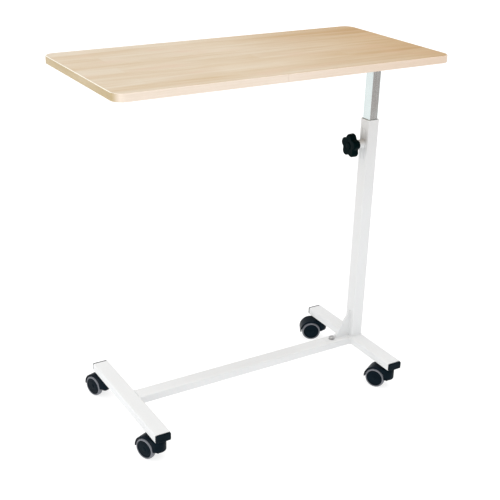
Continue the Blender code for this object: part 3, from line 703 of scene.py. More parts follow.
def weld_ring(centre, axis, ring_radius, radius, pitch):
    """Weld bead round a boss."""
    bm = bmesh.new()
    bmesh.ops.create_circle(bm, segments=8, radius=radius)
    upright = Matrix.Rotation(math.pi / 2, 4, "X")
    move(bm, Matrix.Translation((ring_radius, 0, 0)) @ upright)
    steps = max(24, int(math.tau * ring_radius / (pitch / 4)))
    bmesh.ops.spin(bm, geom=bm.verts[:] + bm.edges[:], cent=(0, 0, 0), axis=(0, 0, 1), dvec=(0, 0, 0),
                   angle=math.tau, steps=steps, use_merge=True, use_duplicate=False)
    bmesh.ops.remove_doubles(bm, verts=bm.verts, dist=1e-7)
    for vert in bm.verts:
        angle = math.atan2(vert.co.y, vert.co.x)
        heart = Vector((math.cos(angle), math.sin(angle), 0)) * ring_radius
        vert.co = heart + (vert.co - heart) * ripple((angle + math.pi) * ring_radius, pitch)
    face_out(bm)
    move(bm, Matrix.Translation(centre) @ turned_from_z(axis))
    return bm


# ---------------------------------------------------------------- top
class MakeTop(Operator):
    """Make the laminate board and its edge band"""
    bl_idname = "overbed_table.make_top"
    bl_label = "Make the top"

    def execute(self, context):
        sizes = context.scene.table_top_sizes
        low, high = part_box("tabletop_board")
        board = block(low, high, "Z", sizes.corner - sizes.band_thickness - GAP, 16)
        bevel(board, sharp_edges(board), 0.00025, 2)
        face_out(board)
        add_piece("board", board, "beech_laminate", "tabletop_board")
        add_piece("edge_band", self.band(sizes), "edge_band_laminate", "tabletop_edge_band")
        return {"FINISHED"}

    def band(self, sizes):
        """Closed strip round the board, cut through at the joint between its two ends."""
        low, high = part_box("tabletop_edge_band")
        bm = block(low, high, "Z", sizes.corner, 16)
        bmesh.ops.delete(bm, geom=end_faces(bm, "Z"), context="FACES")
        face_out(bm)
        bmesh.ops.solidify(bm, geom=bm.faces[:], thickness=sizes.band_thickness)
        bm.normal_update()
        centre, reach = (low + high) / 2, (high - low) / 2
        limit = sizes.band_thickness * 0.5
        outer_rim = []
        for edge in sharp_edges(bm, 60.0):
            off = (edge.verts[0].co + edge.verts[1].co) / 2 - centre
            if abs(off.x) >= reach.x - limit or abs(off.y) >= reach.y - limit:
                outer_rim.append(edge)
        bevel(bm, outer_rim, sizes.band_rounding, 4)
        return self.with_joint(bm, sizes, low.y)

    def with_joint(self, bm, sizes, front):
        near = front + 4 * sizes.band_thickness
        for side in (-1, 1):
            chosen = [face for face in bm.faces if face.calc_center_median().y < near]
            slice_faces(bm, chosen, (BAND_JOINT_X + side * sizes.seam_width / 2, 0, 0), (1, 0, 0))
        cut = [face for face in bm.faces
               if face.calc_center_median().y < near
               and abs(face.calc_center_median().x - BAND_JOINT_X) < sizes.seam_width / 2]
        bmesh.ops.delete(bm, geom=cut, context="FACES")
        bmesh.ops.holes_fill(bm, edges=[edge for edge in bm.edges if edge.is_boundary], sides=0)
        face_out(bm)
        return bm


class MakeTopSupport(Operator):
    """Make the painted plate and arm under the top, with its screws and welds"""
    bl_idname = "overbed_table.make_top_support"
    bl_label = "Make the support under the top"

    def execute(self, context):
        sizes = context.scene.table_tube_sizes
        low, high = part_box("top_support_plate")
        plate = block(low, high, "Z", 0.010, 10)
        bevel(plate, sharp_edges(plate), 0.0005, 3)
        face_out(plate)
        add_piece("support_plate", plate, "black_painted_steel", "top_support_plate")

        low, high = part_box("top_support_rail")
        rail = tube(low, high, "X", 0.002, sizes.wall, sizes.rim, 5)
        add_piece("support_arm", rail, "black_painted_steel", "top_support_rail")

        stitches = []
        for side_y in (low.y, high.y):
            for start_x in STITCH_STARTS:
                start = Vector((start_x, side_y, high.z + GAP / 2))
                stitches.append(weld(start, start + Vector((STITCH_LENGTH, 0, 0)),
                                     sizes.weld_radius, sizes.weld_ripple))
        extra_piece("support_welds", joined(*stitches), "black_painted_steel", "top_support_plate")

        for number in range(1, 7):
            node = f"top_screw_{number}"
            add_piece(f"screw_{number}", self.screw(node), "zinc_steel", node)
        return {"FINISHED"}

    def screw(self, node):
        """Pan-head screw, head down, with a hexagon socket and a pointed shank."""
        low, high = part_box(node)
        radius = (high.x - low.x) / 2
        head = 0.0024
        bm = bmesh.new()
        bmesh.ops.create_circle(bm, segments=6, radius=radius * 0.36)
        socket_edges = bm.edges[:]
        made = bmesh.ops.create_circle(bm, segments=24, radius=radius * 0.52)
        face_edges = list({edge for vert in made["verts"] for edge in vert.link_edges})
        bmesh.ops.bridge_loops(bm, edges=socket_edges + face_edges)
        self.sink(bm, socket_edges, depth=0.0013)
        outline = ((radius * 0.82, 0.00022), (radius * 0.97, 0.0008), (radius, 0.0013), (radius, head),
                   (0.0020, head), (0.0020, high.z - low.z - 0.003), (0.0003, high.z - low.z))
        edges = face_edges
        for reach, height in outline:
            verts, edges = ring_edges(bmesh.ops.extrude_edge_only(bm, edges=edges)["geom"])
            for vert in verts:
                angle = math.atan2(vert.co.y, vert.co.x)
                vert.co = (reach * math.cos(angle), reach * math.sin(angle), height)
        bmesh.ops.edgeloop_fill(bm, edges=edges)
        face_out(bm)
        centre = (low + high) / 2
        bmesh.ops.translate(bm, vec=(centre.x, centre.y, low.z), verts=bm.verts)
        return bm

    def sink(self, bm, rim, depth):
        verts, edges = ring_edges(bmesh.ops.extrude_edge_only(bm, edges=rim)["geom"])
        bmesh.ops.translate(bm, vec=(0, 0, depth), verts=list(verts))
        bmesh.ops.edgeloop_fill(bm, edges=edges)


# ---------------------------------------------------------------- column
class MakeColumn(Operator):
    """Make the column's outer and inner tubes and refinish its bush and glide"""
    bl_idname = "overbed_table.make_column"
    bl_label = "Make the column"

    def execute(self, context):
        sizes = context.scene.table_tube_sizes
        low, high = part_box("column_inner_tube")
        inner = tube(low, high, "Z", sizes.inner_corner, sizes.wall, sizes.rim)
        add_piece("inner_tube", inner, "bright_chrome", "column_inner_tube")
        add_piece("outer_tube", self.outer_tube(sizes), "white_powder_coat", "column_outer_tube")
        add_piece("guide_bush", self.bush(sizes), "natural_nylon", "column_guide_bush")
        refinish("natural_nylon", "column_bottom_glide")
        return {"FINISHED"}

    def bush(self, sizes):
        """Nylon liner whose rim closes the mouth of the outer tube."""
        low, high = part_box("column_guide_bush")
        high.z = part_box("column_outer_tube")[1].z - 0.0004
        inner_low, inner_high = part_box("column_inner_tube")
        wall = (high.x - low.x - (inner_high.x - inner_low.x)) / 2 - GAP
        return tube(low, high, "Z", sizes.outer_corner - sizes.wall, wall, 0.00015)

    def outer_tube(self, sizes):
        """Column tube with two grooves pressed in its face either side of the boss."""
        low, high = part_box("column_outer_tube")
        bm = tube(low, high, "Z", sizes.outer_corner, sizes.wall, sizes.rim)
        centre = middle("clamp_boss")
        for side in (-1, 1):
            self.press(bm, sizes, low.x, centre.y + side * sizes.groove_spacing / 2, centre.z)
        return bm

    def press(self, bm, sizes, face_x, y, z):
        width, height = sizes.groove_width / 2, sizes.groove_length / 2
        planes = (((0, 1, 0), (0, y - width, 0)), ((0, 1, 0), (0, y + width, 0)),
                  ((0, 0, 1), (0, 0, z - height)), ((0, 0, 1), (0, 0, z + height)))
        for normal, point in planes:
            faces = [face for face in bm.faces if face.calc_center_median().x < face_x + 0.0002
                     and abs(face.normal.x) > 0.99]
            slice_faces(bm, faces, point, normal)
        pressed = [face for face in bm.faces
                   if abs(face.calc_center_median().x - face_x) < 1e-5
                   and abs(face.calc_center_median().y - y) < width
                   and abs(face.calc_center_median().z - z) < height]
        bmesh.ops.inset_region(bm, faces=pressed, thickness=width * 0.45, depth=0.0, use_even_offset=True)
        verts = {vert for face in pressed for vert in face.verts}
        bmesh.ops.translate(bm, vec=(sizes.groove_depth, 0, 0), verts=list(verts))


class MakeClamp(Operator):
    """Make the clamp's boss, knob, threaded stud and pad"""
    bl_idname = "overbed_table.make_clamp"
    bl_label = "Make the clamp"

    def execute(self, context):
        sizes = context.scene.table_clamp_sizes
        tubes = context.scene.table_tube_sizes
        axis = middle("clamp_boss")
        add_piece("boss", self.boss(), "white_powder_coat", "clamp_boss")
        low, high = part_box("clamp_boss")
        ring = weld_ring(Vector((high.x - 0.0002, axis.y, axis.z)), "X", (high.z - low.z) / 2,
                         tubes.weld_radius, tubes.weld_ripple)
        extra_piece("boss_weld", ring, "white_powder_coat", "clamp_boss")
        add_piece("knob", self.knob(sizes), "knob_plastic", "clamp_knob", sharp=40.0)
        add_piece("stud", self.stud(sizes), "zinc_steel", "clamp_stud", sharp=25.0)
        refinish("brass", "clamp_pad")
        return {"FINISHED"}

    def boss(self):
        low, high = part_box("clamp_boss")
        radius, bore = (high.z - low.z) / 2, BOSS_BORE
        size = high.x - low.x
        profile = [(bore + 0.0006, 0), (radius - 0.0009, 0), (radius, 0.0009), (radius, size),
                   (bore, size), (bore, 0.0006)]
        bm = turning(profile, 48)
        axis = middle("clamp_boss")
        move(bm, Matrix.Translation((low.x, axis.y, axis.z)) @ turned_from_z("X"))
        face_out(bm)
        return bm

    def knob(self, sizes):
        """Five-lobed knob with flutes between the lobes, a cap in its face and a hub behind."""
        low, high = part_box("clamp_knob")
        reach = max(high.z - middle("clamp_stud").z, high.y - middle("clamp_stud").y)
        lobes_end = high.x - 0.005
        front, back = sizes.front_rounding, sizes.back_rounding
        cap = sizes.cap_radius

        def lobed(inset):
            def radius_at(angle):
                wave = (1 - math.cos(5 * angle)) / 2
                return reach - inset - sizes.lobe_depth * wave ** 1.6
            return radius_at

        rings = [(high.x, 0.0054), (high.x, 0.0094), (high.x - 0.0008, 0.0102), (lobes_end + 0.0016, 0.0108),
                 (lobes_end + 0.0005, 0.0116), (lobes_end, 0.0135), (lobes_end, lobed(back * 1.6))]
        for step in range(5):
            turn = math.pi / 2 * step / 4
            rings.append((lobes_end - back * (1 - math.cos(turn)), lobed(back * (1 - math.sin(turn)))))
        for step in range(8):
            turn = math.pi / 2 * step / 7
            rings.append((low.x + 0.0006 + front * (1 - math.sin(turn)),
                          lobed(0.0004 + front * (1 - math.cos(turn)))))
        rings += [(low.x + 0.0009, 0.0145), (low.x + 0.0012, cap + 0.0012), (low.x + 0.0021, cap + 0.0007),
                  (low.x + 0.0021, cap + 0.0002), (low.x + 0.0006, cap - 0.0002),
                  (low.x + 0.0002, cap - 0.0010),
                  (low.x, cap * 0.55), (low.x, 0.0004)]
        bm = loft([round_loop(position, radius_at, 120) for position, radius_at in rings])
        axis = middle("clamp_stud")
        flip = Matrix(((0, 0, 1, 0), (0, 1, 0, 0), (1, 0, 0, 0), (0, 0, 0, 1)))
        move(bm, Matrix.Translation((0, axis.y, axis.z)) @ flip)
        face_out(bm)
        return bm

    def stud(self, sizes):
        """Threaded stud with a plain nose."""
        low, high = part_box("clamp_stud")
        radius = (high.z - low.z) / 2
        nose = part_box("clamp_pad")[0].x - GAP
        pitch = sizes.thread_pitch
        turns = int((nose - low.x) / pitch) - 1
        bm = bmesh.new()
        points = ((radius - sizes.thread_depth, 0), (radius, pitch * 0.42), (radius, pitch * 0.58),
                  (radius - sizes.thread_depth, pitch))
        verts = [bm.verts.new((reach, 0, height)) for reach, height in points]
        edges = [bm.edges.new(pair) for pair in zip(verts, verts[1:])]
        steps = 28
        bmesh.ops.spin(bm, geom=verts + edges, cent=(0, 0, 0), axis=(0, 0, 1), dvec=(0, 0, pitch / steps),
                       angle=math.tau * turns, steps=steps * turns, use_merge=False, use_duplicate=False)
        bmesh.ops.remove_doubles(bm, verts=bm.verts, dist=1e-6)
        bmesh.ops.holes_fill(bm, edges=[edge for edge in bm.edges if edge.is_boundary], sides=0)
        face_out(bm)
        core = radius - sizes.thread_depth
        last = pitch * (turns + 1)
        nose_start = nose - low.x
        tip = high.x - low.x
        body = turning([(0, 0.0002), (core - 0.0002, 0.0002), (core - 0.0002, last), (core + 0.0003, last),
                        (core + 0.0003, nose_start - 0.0004), (core - 0.0001, nose_start),
                        (0.0025, nose_start),
                        (0.0025, tip - 0.0003), (0.0022, tip), (0, tip)], 28)
        joined(bm, body)
        place = Matrix.Translation((low.x, middle("clamp_stud").y, middle("clamp_stud").z))
        move(bm, place @ turned_from_z("X"))
        return bm


# ---------------------------------------------------------------- base
class MakeBase(Operator):
    """Make the base's tubes, gusset and joint fasteners"""
    bl_idname = "overbed_table.make_base"
    bl_label = "Make the base"

    def execute(self, context):
        sizes = context.scene.table_tube_sizes
        for node, axis in (("base_crossbar_left", "Y"), ("base_crossbar_right", "Y"),
                           ("base_beam", "X"), ("base_socket", "X")):
            low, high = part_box(node)
            bm = tube(low, high, axis, sizes.base_corner, sizes.wall, sizes.rim)
            add_piece(node.replace("base_", ""), bm, "white_powder_coat", node)
        add_piece("gusset", self.gusset(), "white_powder_coat", "column_gusset")
        refinish("zinc_steel", "base_joint_spigot")
        self.fasteners()
        return {"FINISHED"}

    def gusset(self):
        """Triangular plate with softened edges, merged from the packed mesh."""
        bm = bmesh.new()
        bm.from_mesh(frame["nodes"]["column_gusset"].data)
        bmesh.ops.remove_doubles(bm, verts=bm.verts, dist=1e-6)
        bmesh.ops.dissolve_limit(bm, angle_limit=math.radians(1), verts=bm.verts, edges=bm.edges)
        bevel(bm, sharp_edges(bm, 30.0), 0.0006, 3)
        face_out(bm)
        return bm

    def fasteners(self):
        axis = middle("base_joint_bolt")
        low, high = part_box("base_joint_washer")
        radius = (high.x - low.x) / 2
        size = high.z - low.z
        section = [(WASHER_BORE, 0), (radius, 0), (radius, size), (WASHER_BORE, size), (WASHER_BORE, 0)]
        washer = turning(rounded(section, 0.00035, 2)[:-1], 48, (axis.x, axis.y, low.z))
        add_piece("joint_washer", washer, "zinc_steel", "base_joint_washer")

        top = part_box("base_joint_bolt")[1].z
        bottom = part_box("base_joint_bolt")[0].z
        head_bottom = high.z + GAP
        head = self.hex_body(HEXAGON_RADIUS, head_bottom, top, crown=0.0006)
        shank = turning([(0, bottom), (SHANK_RADIUS - 0.0006, bottom), (SHANK_RADIUS, bottom + 0.0006),
                         (SHANK_RADIUS, head_bottom + 0.001), (0, head_bottom + 0.001)], 32)
        bolt = joined(head, shank)
        bmesh.ops.translate(bolt, vec=(axis.x, axis.y, 0), verts=bolt.verts)
        add_piece("joint_bolt", bolt, "zinc_steel", "base_joint_bolt")

        low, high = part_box("base_joint_nut")
        nut = self.hex_body(HEXAGON_RADIUS, low.z, high.z, crown=0.0, bore=WASHER_BORE)
        bmesh.ops.translate(nut, vec=(axis.x, axis.y, 0), verts=nut.verts)
        add_piece("joint_nut", nut, "zinc_steel", "base_joint_nut")

    def hex_body(self, radius, bottom, top, crown, bore=None):
        """Hexagon whose corners are turned down to a cone at its free end."""
        flats = radius * math.cos(math.pi / 6)

        def hexagonal(limit):
            return lambda angle: min(limit, flats / math.cos(angle % (math.pi / 3) - math.pi / 6))

        rings = [(bottom, hexagonal(radius * 0.975)), (bottom + 0.0004, hexagonal(radius)),
                 (top - 0.0013 - crown, hexagonal(radius)), (top - 0.0007 - crown, hexagonal(radius * 0.955)),
                 (top - 0.00025 - crown, hexagonal(radius * 0.905)), (top - crown, flats * 0.96)]
        if bore:
            rings += [(top, bore + 0.0005), (top - 0.0004, bore), (bottom + 0.0004, bore),
                      (bottom, bore + 0.0004)]
        else:
            rings += [(top - crown * 0.45, flats * 0.72), (top - crown * 0.1, flats * 0.38), (top, 0.0002)]
        return loft([round_loop(height, reach, 72) for height, reach in rings], closed=bool(bore))


class MakeEndCaps(Operator):
    """Make the black plugs in the crossbars' ends"""
    bl_idname = "overbed_table.make_end_caps"
    bl_label = "Make the end caps"

    def execute(self, context):
        sizes = context.scene.table_tube_sizes
        for side in ("left", "right"):
            for end in ("front", "back"):
                self.cap(side, end, sizes)
        return {"FINISHED"}

    def cap(self, side, end, sizes):
        """Domed flange with a plain spigot inside the tube."""
        node = f"end_cap_{end}_{side}"
        low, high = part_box(node)
        bar_low, bar_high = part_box(f"base_crossbar_{side}")
        outwards = 1 if end == "back" else -1
        face = high.y if outwards > 0 else low.y
        tube_end = bar_high.y if outwards > 0 else bar_low.y
        inner = low.y if outwards > 0 else high.y
        flange_start = tube_end + outwards * GAP
        shy = Vector((0.0008, 0, 0.0008))
        flange = block(*self.between(low + shy, high - shy, flange_start, face), "Y", sizes.base_corner, 8)
        outer_rim = [edge for edge in sharp_edges(flange)
                     if all(abs(vert.co.y - face) < 1e-6 for vert in edge.verts)]
        bevel(flange, outer_rim, 0.0012, 4)
        margin = Vector((sizes.wall + 2 * GAP, 0, sizes.wall + 2 * GAP))
        spigot = block(*self.between(low + margin, high - margin, inner, flange_start + outwards * 0.001),
                       "Y", 0.0012, 4)
        face_out(spigot)
        face_out(flange)
        add_piece(node, joined(flange, spigot), "black_plastic", node)

    def between(self, low, high, first_y, second_y):
        return (Vector((low.x, min(first_y, second_y), low.z)),
                Vector((high.x, max(first_y, second_y), high.z)))


class MakeWelds(Operator):
    """Lay the powder-coated weld beads of the base and column"""
    bl_idname = "overbed_table.make_welds"
    bl_label = "Lay the welds"

    def execute(self, context):
        sizes = context.scene.table_tube_sizes
        radius, pitch = sizes.weld_radius, sizes.weld_ripple
        low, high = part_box("column_outer_tube")
        foot = low.z - GAP / 2
        corners = [Vector((x, y, foot)) for x, y in (
            (low.x, low.y), (high.x, low.y), (high.x, high.y), (low.x, high.y))]
        extra_piece("column_foot_weld", weld_loop(corners, radius, pitch), "white_powder_coat",
                    "column_outer_tube")

        for bar, beam, name in (("left", "base_beam", "beam_weld"), ("right", "base_socket", "socket_weld")):
            beam_low, beam_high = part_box(beam)
            bar_low, bar_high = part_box(f"base_crossbar_{bar}")
            x = (bar_high.x + beam_low.x) / 2 if bar == "left" else (bar_low.x + beam_high.x) / 2
            corners = [Vector((x, y, z)) for y, z in (
                (beam_low.y, beam_low.z), (beam_high.y, beam_low.z),
                (beam_high.y, beam_high.z), (beam_low.y, beam_high.z))]
            extra_piece(name, weld_loop(corners, radius * 0.85, pitch), "white_powder_coat", beam)

        low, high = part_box("column_gusset")
        beads = []
        for y in (low.y, high.y):
            beads.append(weld((low.x, y, low.z), (high.x, y, low.z), radius, pitch))
            beads.append(weld((high.x, y, low.z), (high.x, y, high.z), radius, pitch))
        beads.append(weld((low.x, low.y, low.z), (low.x, high.y, low.z), radius, pitch))
        extra_piece("gusset_weld", joined(*beads), "white_powder_coat", "column_gusset")
        return {"FINISHED"}


# ---------------------------------------------------------------- castors
class MakeCastors(Operator):
    """Make the hoods, stems, axles, wheel centres and tyres of the castors"""
    bl_idname = "overbed_table.make_castors"
    bl_label = "Make the castors"

    def execute(self, context):
        sizes = context.scene.table_castor_sizes
        for label in CASTOR_LABELS:
            swivel = Vector(JOINTS[f"castor_{label}_swivel"]["pos_m"])
            axle = Vector(JOINTS[f"castor_{label}_wheel_a_roll"]["pos_m"])
            trail = Vector((axle.x - swivel.x, axle.y - swivel.y, 0))
            heading = math.atan2(trail.y, trail.x)
            place = Matrix.Translation((swivel.x, swivel.y, 0)) @ Matrix.Rotation(heading, 4, "Z")
            self.body(label, sizes, trail.length, axle.z, place)
            self.stem(label, place)
            refinish("zinc_steel", f"castor_{label}_axle")
            sideways = place.to_3x3() @ Vector((0, 1, 0))
            for wheel in "ab":
                centre = middle(f"castor_{label}_tyre_{wheel}")
                side = 1 if (centre - swivel).dot(sideways) > 0 else -1
                self.wheel(label, wheel, sizes, Matrix.Translation((trail.length, 0, axle.z)), place, side)
        return {"FINISHED"}

    def body(self, label, sizes, trail, axle_z, place):
        node = f"castor_{label}_body"
        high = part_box(node)[1].z
        parts = joined(self.hood(sizes, trail, axle_z), self.web(sizes, trail, axle_z),
                       self.neck(sizes, high))
        move(parts, place)
        add_piece(f"castor_{label}_hood", parts, "black_plastic", node, sharp=38.0)

    def hood(self, sizes, trail, axle_z):
        """Cover over both wheels with straight sides, a round front about the stem, and a pocket below."""
        half = sizes.hood_width / 2
        outlines = []
        for step in range(33):
            y = half * math.sin(math.pi * (step / 32 - 0.5))
            outlines.append([(x, y, z) for x, z in self.hood_outline(sizes, trail, axle_z, y)])
        bm = loft(outlines)
        under = []
        for face in bm.faces:
            x, y, z = face.calc_center_median()
            if face.normal.z < -0.99 and abs(z - sizes.hood_bottom) < 1e-5 and x < 0 and abs(y) < half * 0.9:
                under.append(face)
        bmesh.ops.inset_region(bm, faces=under, thickness=sizes.hood_wall * 0.5, use_even_offset=True)
        made = bmesh.ops.extrude_face_region(bm, geom=under)["geom"]
        bmesh.ops.delete(bm, geom=under, context="FACES")
        bmesh.ops.translate(bm, vec=(0, 0, sizes.pocket_depth), verts=list(ring_edges(made)[0]))
        face_out(bm)
        return bm

    def hood_outline(self, sizes, trail, axle_z, y):
        """The hood's side outline, cut at a distance y from its middle plane."""
        half, rim, shoulder = sizes.hood_width / 2, sizes.hood_rim, sizes.hood_shoulder
        over = max(0.0, abs(y) - (half - rim)) / rim
        lower = rim * (1 - math.sqrt(max(0.0, 1 - over ** 2)))
        outer = sizes.hood_radius - lower
        inner = sizes.hood_radius - sizes.hood_wall
        front = -math.sqrt(max(0.0, half ** 2 - y ** 2))
        top = axle_z + outer
        points = arc((trail, axle_z), outer, -4, 90, 20)
        points += arc((front + shoulder, top - shoulder), shoulder, 90, 180, 8)
        back = max(trail - math.sqrt(inner ** 2 - (sizes.hood_bottom - axle_z) ** 2), front + 0.0008)
        edge = min(0.0022, (back - front) * 0.45)
        points += arc((front + edge, sizes.hood_bottom + edge), edge, 180, 270, 5)
        last = math.degrees(math.asin((sizes.hood_bottom - axle_z) / inner))
        points += [(max(x, back), z) for x, z in arc((trail, axle_z), inner, 180 - last, -4, 30)]
        return points

    def web(self, sizes, trail, axle_z):
        """Plate between the wheels that carries the stem and the axle."""
        shell = sizes.hood_radius - sizes.hood_wall / 2
        half = sizes.web_width / 2
        points = [(-0.007, 0.050), (-0.007, CORE_BOTTOM), (0.005, CORE_BOTTOM)]
        points += arc((trail, axle_z), 0.0150, -158, 25, 14) + arc((trail, axle_z), shell, 35, 110, 14)
        inset = ((-half, 0.94), (-half + 0.0006, 1.0), (half - 0.0006, 1.0), (half, 0.94))
        heart = Vector((trail * 0.4, axle_z * 1.4))
        loops = []
        for y, share in inset:
            shrunk = [heart + (Vector(point) - heart) * (1 - (1 - share) * 0.6) for point in points]
            loops.append([(point.x, y, point.y) for point in shrunk])
        under = CORE_BOTTOM - GAP
        core = turning([(0, under), (CORE_RADIUS - 0.0006, under), (CORE_RADIUS, under + 0.0006),
                        (CORE_RADIUS, CORE_TOP), (0, CORE_TOP)], 40)
        return joined(loft(loops), core)

    def neck(self, sizes, top):
        """Neck on the hood, flared where it grows out of it, with a bearing cup on top."""
        radius = sizes.neck_radius
        profile = [(0, CORE_TOP), (radius + 0.0022, 0.0545), (radius + 0.0010, 0.0551), (radius, 0.0561),
                   (radius, top - 0.0006), (radius - 0.0006, top), (0.0072, top), (0.0068, top - 0.0004),
                   (0.0046, top - 0.0004), (0.0046, top - 0.0030), (0, top - 0.0030)]
        return turning(profile, 48)

    def stem(self, label, place):
        node = f"castor_{label}_stem"
        low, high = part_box(node)
        flange_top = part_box("base_crossbar_left")[0].z - GAP
        flange_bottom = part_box(f"castor_{label}_body")[1].z + GAP
        core, flange, ease = SHANK_RADIUS, 0.0100, 0.0006
        profile = [(0, low.z), (core - ease, low.z), (core, low.z + ease), (core, flange_bottom),
                   (flange - ease, flange_bottom), (flange, flange_bottom + 0.0005),
                   (flange, flange_top - ease), (flange - ease, flange_top), (core, flange_top),
                   (core, high.z - ease),
                   (core - ease, high.z), (0, high.z)]
        bm = turning(profile, 40)
        move(bm, place)
        add_piece(f"castor_{label}_stem_turned", bm, "zinc_steel", node)

    def wheel(self, label, wheel, sizes, axle, place, side):
        """Wheel centre with a domed cap and a ring groove, and a tyre with round shoulders."""
        inner, outer = WHEEL_INNER, WHEEL_OUTER
        rim = sizes.tyre_bore - GAP
        bore = sizes.axle_radius + GAP
        centre = turning(rounded([
            (0, outer), (0.0042, outer - 0.0001), (0.0056, outer - 0.0006), (0.0062, outer - 0.0013),
            (0.0072, outer - 0.0013), (0.0078, outer - 0.0008), (0.0140, outer - 0.0011),
            (0.0146, outer - 0.0017), (0.0156, outer - 0.0017), (0.0161, outer - 0.0011),
            (rim - 0.0010, outer - 0.0013), (rim, outer - 0.0026), (rim, inner), (bore + 0.0004, inner),
            (bore, inner + 0.0004), (bore, 0.0175), (0, 0.0175)], 0.0004, 2), 72)
        tyre = turning(rounded([
            (sizes.tyre_bore, inner), (WHEEL_RADIUS - 0.0012, inner), (WHEEL_RADIUS, inner + 0.0014),
            (WHEEL_RADIUS, outer - 0.0050), (WHEEL_RADIUS - 0.0007, outer - 0.0027),
            (WHEEL_RADIUS - 0.0022, outer - 0.0012), (sizes.tyre_bore + 0.0010, outer - 0.0008),
            (sizes.tyre_bore, outer - 0.0018), (sizes.tyre_bore, inner)],
            [0, 0.0006, 0.0008, 0.0016, 0.0012, 0.0006, 0.0003, 0.0003, 0], 3)[:-1], 72)
        upright = turned_from_z("Y", side)
        kinds = ((centre, "wheel_centre", "black_plastic"), (tyre, "tyre", "grey_tyre_rubber"))
        for piece, kind, finish_name in kinds:
            move(piece, place @ axle @ upright)
            face_out(piece)
            node = f"castor_{label}_{kind}_{wheel}"
            add_piece(f"{node}_turned", piece, finish_name, node)


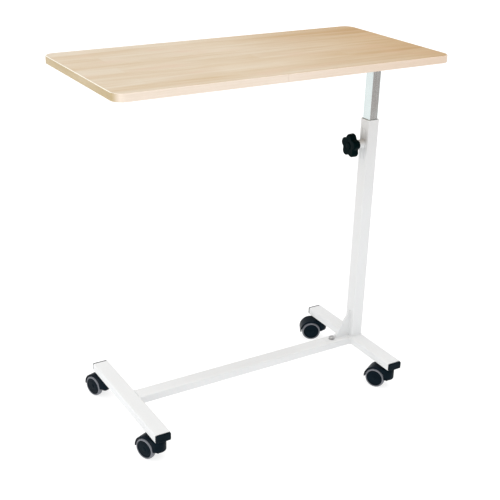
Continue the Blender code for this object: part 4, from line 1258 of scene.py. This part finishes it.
# ---------------------------------------------------------------- studio
class MakeStudio(Operator):
    """Lay the pale floor and set the soft light and the camera"""
    bl_idname = "overbed_table.make_studio"
    bl_label = "Make the studio"

    def execute(self, context):
        studio = context.scene.table_studio
        context.scene.view_settings.view_transform = "Standard"
        self.floor(studio)
        self.sky(context, studio)
        self.key(studio)
        self.softbox("softbox_free_end", studio.end_light, 3.0, (-2.2, -0.9, 0.62), (0.34, 0.0, 0.5),
                     (0.97, 1.0, 0.99))
        self.flag("flag_front", (1.15, -1.55, 0.42), (0.34, 0.0, 0.72), (1.3, 1.7), (0.50, 0.425, 0.41))
        self.camera(context, studio)
        return {"FINISHED"}

    def floor(self, studio):
        bm = bmesh.new()
        bmesh.ops.create_circle(bm, cap_ends=True, segments=96, radius=studio.floor_radius)
        bmesh.ops.translate(bm, vec=(0, 0, -0.0002), verts=bm.verts)
        mesh = bpy.data.meshes.new("studio_floor")
        bm.to_mesh(mesh)
        bm.free()
        mesh.materials.append(studio_floor())
        floor = bpy.data.objects.new("studio_floor", mesh)
        bpy.context.scene.collection.objects.link(floor)

    def sky(self, context, studio):
        world = bpy.data.worlds.new("studio_room")
        world.use_nodes = True
        nodes, links = world.node_tree.nodes, world.node_tree.links
        direction = nodes.new("ShaderNodeTexCoord")
        height = nodes.new("ShaderNodeSeparateXYZ")
        links.new(direction.outputs["Generated"], height.inputs["Vector"])
        brightness = nodes.new("ShaderNodeMapRange")
        brightness.interpolation_type = "SMOOTHSTEP"
        brightness.inputs["From Min"].default_value = 0.02
        brightness.inputs["From Max"].default_value = 0.42
        brightness.inputs["To Min"].default_value = studio.horizon
        brightness.inputs["To Max"].default_value = studio.sky
        links.new(height.outputs["Z"], brightness.inputs["Value"])
        background = nodes["Background"]
        background.inputs["Color"].default_value = (1.0, 1.0, 1.0, 1.0)
        links.new(brightness.outputs["Result"], background.inputs["Strength"])
        context.scene.world = world

    def key(self, studio):
        """Large soft light above the free end that falls evenly on the whole floor."""
        light = bpy.data.lights.new("key_light", "SUN")
        light.energy = studio.key_light
        light.angle = studio.key_softness
        lamp = bpy.data.objects.new("key_light", light)
        lamp.rotation_euler = Vector(KEY_DIRECTION).to_track_quat("-Z", "Y").to_euler()
        bpy.context.scene.collection.objects.link(lamp)

    def flag(self, name, place, aim, size, tone):
        """Toned card that only reflections show, so bright metal has something to reflect."""
        bm = bmesh.new()
        bmesh.ops.create_grid(bm, x_segments=1, y_segments=1, size=0.5)
        bmesh.ops.scale(bm, vec=(size[0], size[1], 1), verts=bm.verts)
        turn = (Vector(aim) - Vector(place)).to_track_quat("Z", "Y").to_matrix().to_4x4()
        move(bm, Matrix.Translation(place) @ turn)
        mesh = bpy.data.meshes.new(name)
        bm.to_mesh(mesh)
        bm.free()
        mesh.materials.append(flag_card(name, tone))
        card = bpy.data.objects.new(name, mesh)
        bpy.context.scene.collection.objects.link(card)
        for ray in ("camera", "diffuse", "shadow", "transmission", "volume_scatter"):
            setattr(card, f"visible_{ray}", False)

    def softbox(self, name, power, size, place, aim, tint):
        light = bpy.data.lights.new(name, "AREA")
        light.color = tint
        light.shape = "SQUARE"
        light.size = size
        light.energy = power
        lamp = bpy.data.objects.new(name, light)
        lamp.location = place
        lamp.visible_glossy = False
        lamp.rotation_euler = (Vector(aim) - Vector(place)).to_track_quat("-Z", "Y").to_euler()
        bpy.context.scene.collection.objects.link(lamp)

    def camera(self, context, studio):
        """Camera above the free end, turned towards the column."""
        azimuth, elevation, roll = (math.radians(angle) for angle in CAMERA_ANGLES)
        target = Vector(CAMERA_TARGET)
        back = Vector((math.sin(azimuth) * math.cos(elevation), -math.cos(azimuth) * math.cos(elevation),
                       math.sin(elevation)))
        right = (-back).cross(Vector((0, 0, 1))).normalized()
        up = right.cross(-back)
        turned_right = math.cos(roll) * right + math.sin(roll) * up
        turned_up = -math.sin(roll) * right + math.cos(roll) * up
        view = bpy.data.cameras.new("studio_camera")
        view.sensor_width = 36.0
        view.lens = studio.lens
        view.shift_x, view.shift_y = CAMERA_SHIFT
        view.clip_start = 0.01
        view.clip_end = 200.0
        camera = bpy.data.objects.new("studio_camera", view)
        camera.matrix_world = (Matrix.Translation(target + back * CAMERA_DISTANCE)
                               @ Matrix((turned_right, turned_up, back)).transposed().to_4x4())
        context.scene.collection.objects.link(camera)
        context.scene.camera = camera


class OverbedTablePanel(Panel):
    """Sizes, finishes and makers of the overbed table"""
    bl_idname = "VIEW3D_PT_overbed_table"
    bl_label = "Overbed table"
    bl_space_type = "VIEW_3D"
    bl_region_type = "UI"
    bl_category = "Overbed table"

    def draw(self, context):
        layout = self.layout
        for title, group in SETTINGS.items():
            settings = getattr(context.scene, title)
            box = layout.box()
            box.label(text=group.__doc__)
            for name in group.__annotations__:
                box.prop(settings, name)
        for maker in MAKERS:
            layout.operator(maker.bl_idname)


SETTINGS = {
    "table_finishes": TableFinishes,
    "table_top_sizes": TopSizes,
    "table_tube_sizes": TubeSizes,
    "table_clamp_sizes": ClampSizes,
    "table_castor_sizes": CastorSizes,
    "table_studio": StudioSettings,
}
MAKERS = (MakeStudio, MakeTop, MakeTopSupport, MakeColumn, MakeClamp, MakeBase, MakeEndCaps, MakeWelds,
          MakeCastors)
CLASSES = (*SETTINGS.values(), *MAKERS, OverbedTablePanel)


def register():
    for made_class in CLASSES:
        bpy.utils.register_class(made_class)
    for title, group in SETTINGS.items():
        setattr(bpy.types.Scene, title, PointerProperty(type=group))


def unregister():
    for title in SETTINGS:
        delattr(bpy.types.Scene, title)
    for made_class in reversed(CLASSES):
        bpy.utils.unregister_class(made_class)


def main():
    register()
    bpy.ops.overbed_table.make_studio()
    bpy.ops.overbed_table.make_top()
    bpy.ops.overbed_table.make_top_support()
    bpy.ops.overbed_table.make_column()
    bpy.ops.overbed_table.make_clamp()
    bpy.ops.overbed_table.make_base()
    bpy.ops.overbed_table.make_end_caps()
    bpy.ops.overbed_table.make_welds()
    bpy.ops.overbed_table.make_castors()


if __name__ == "__main__":
    main()
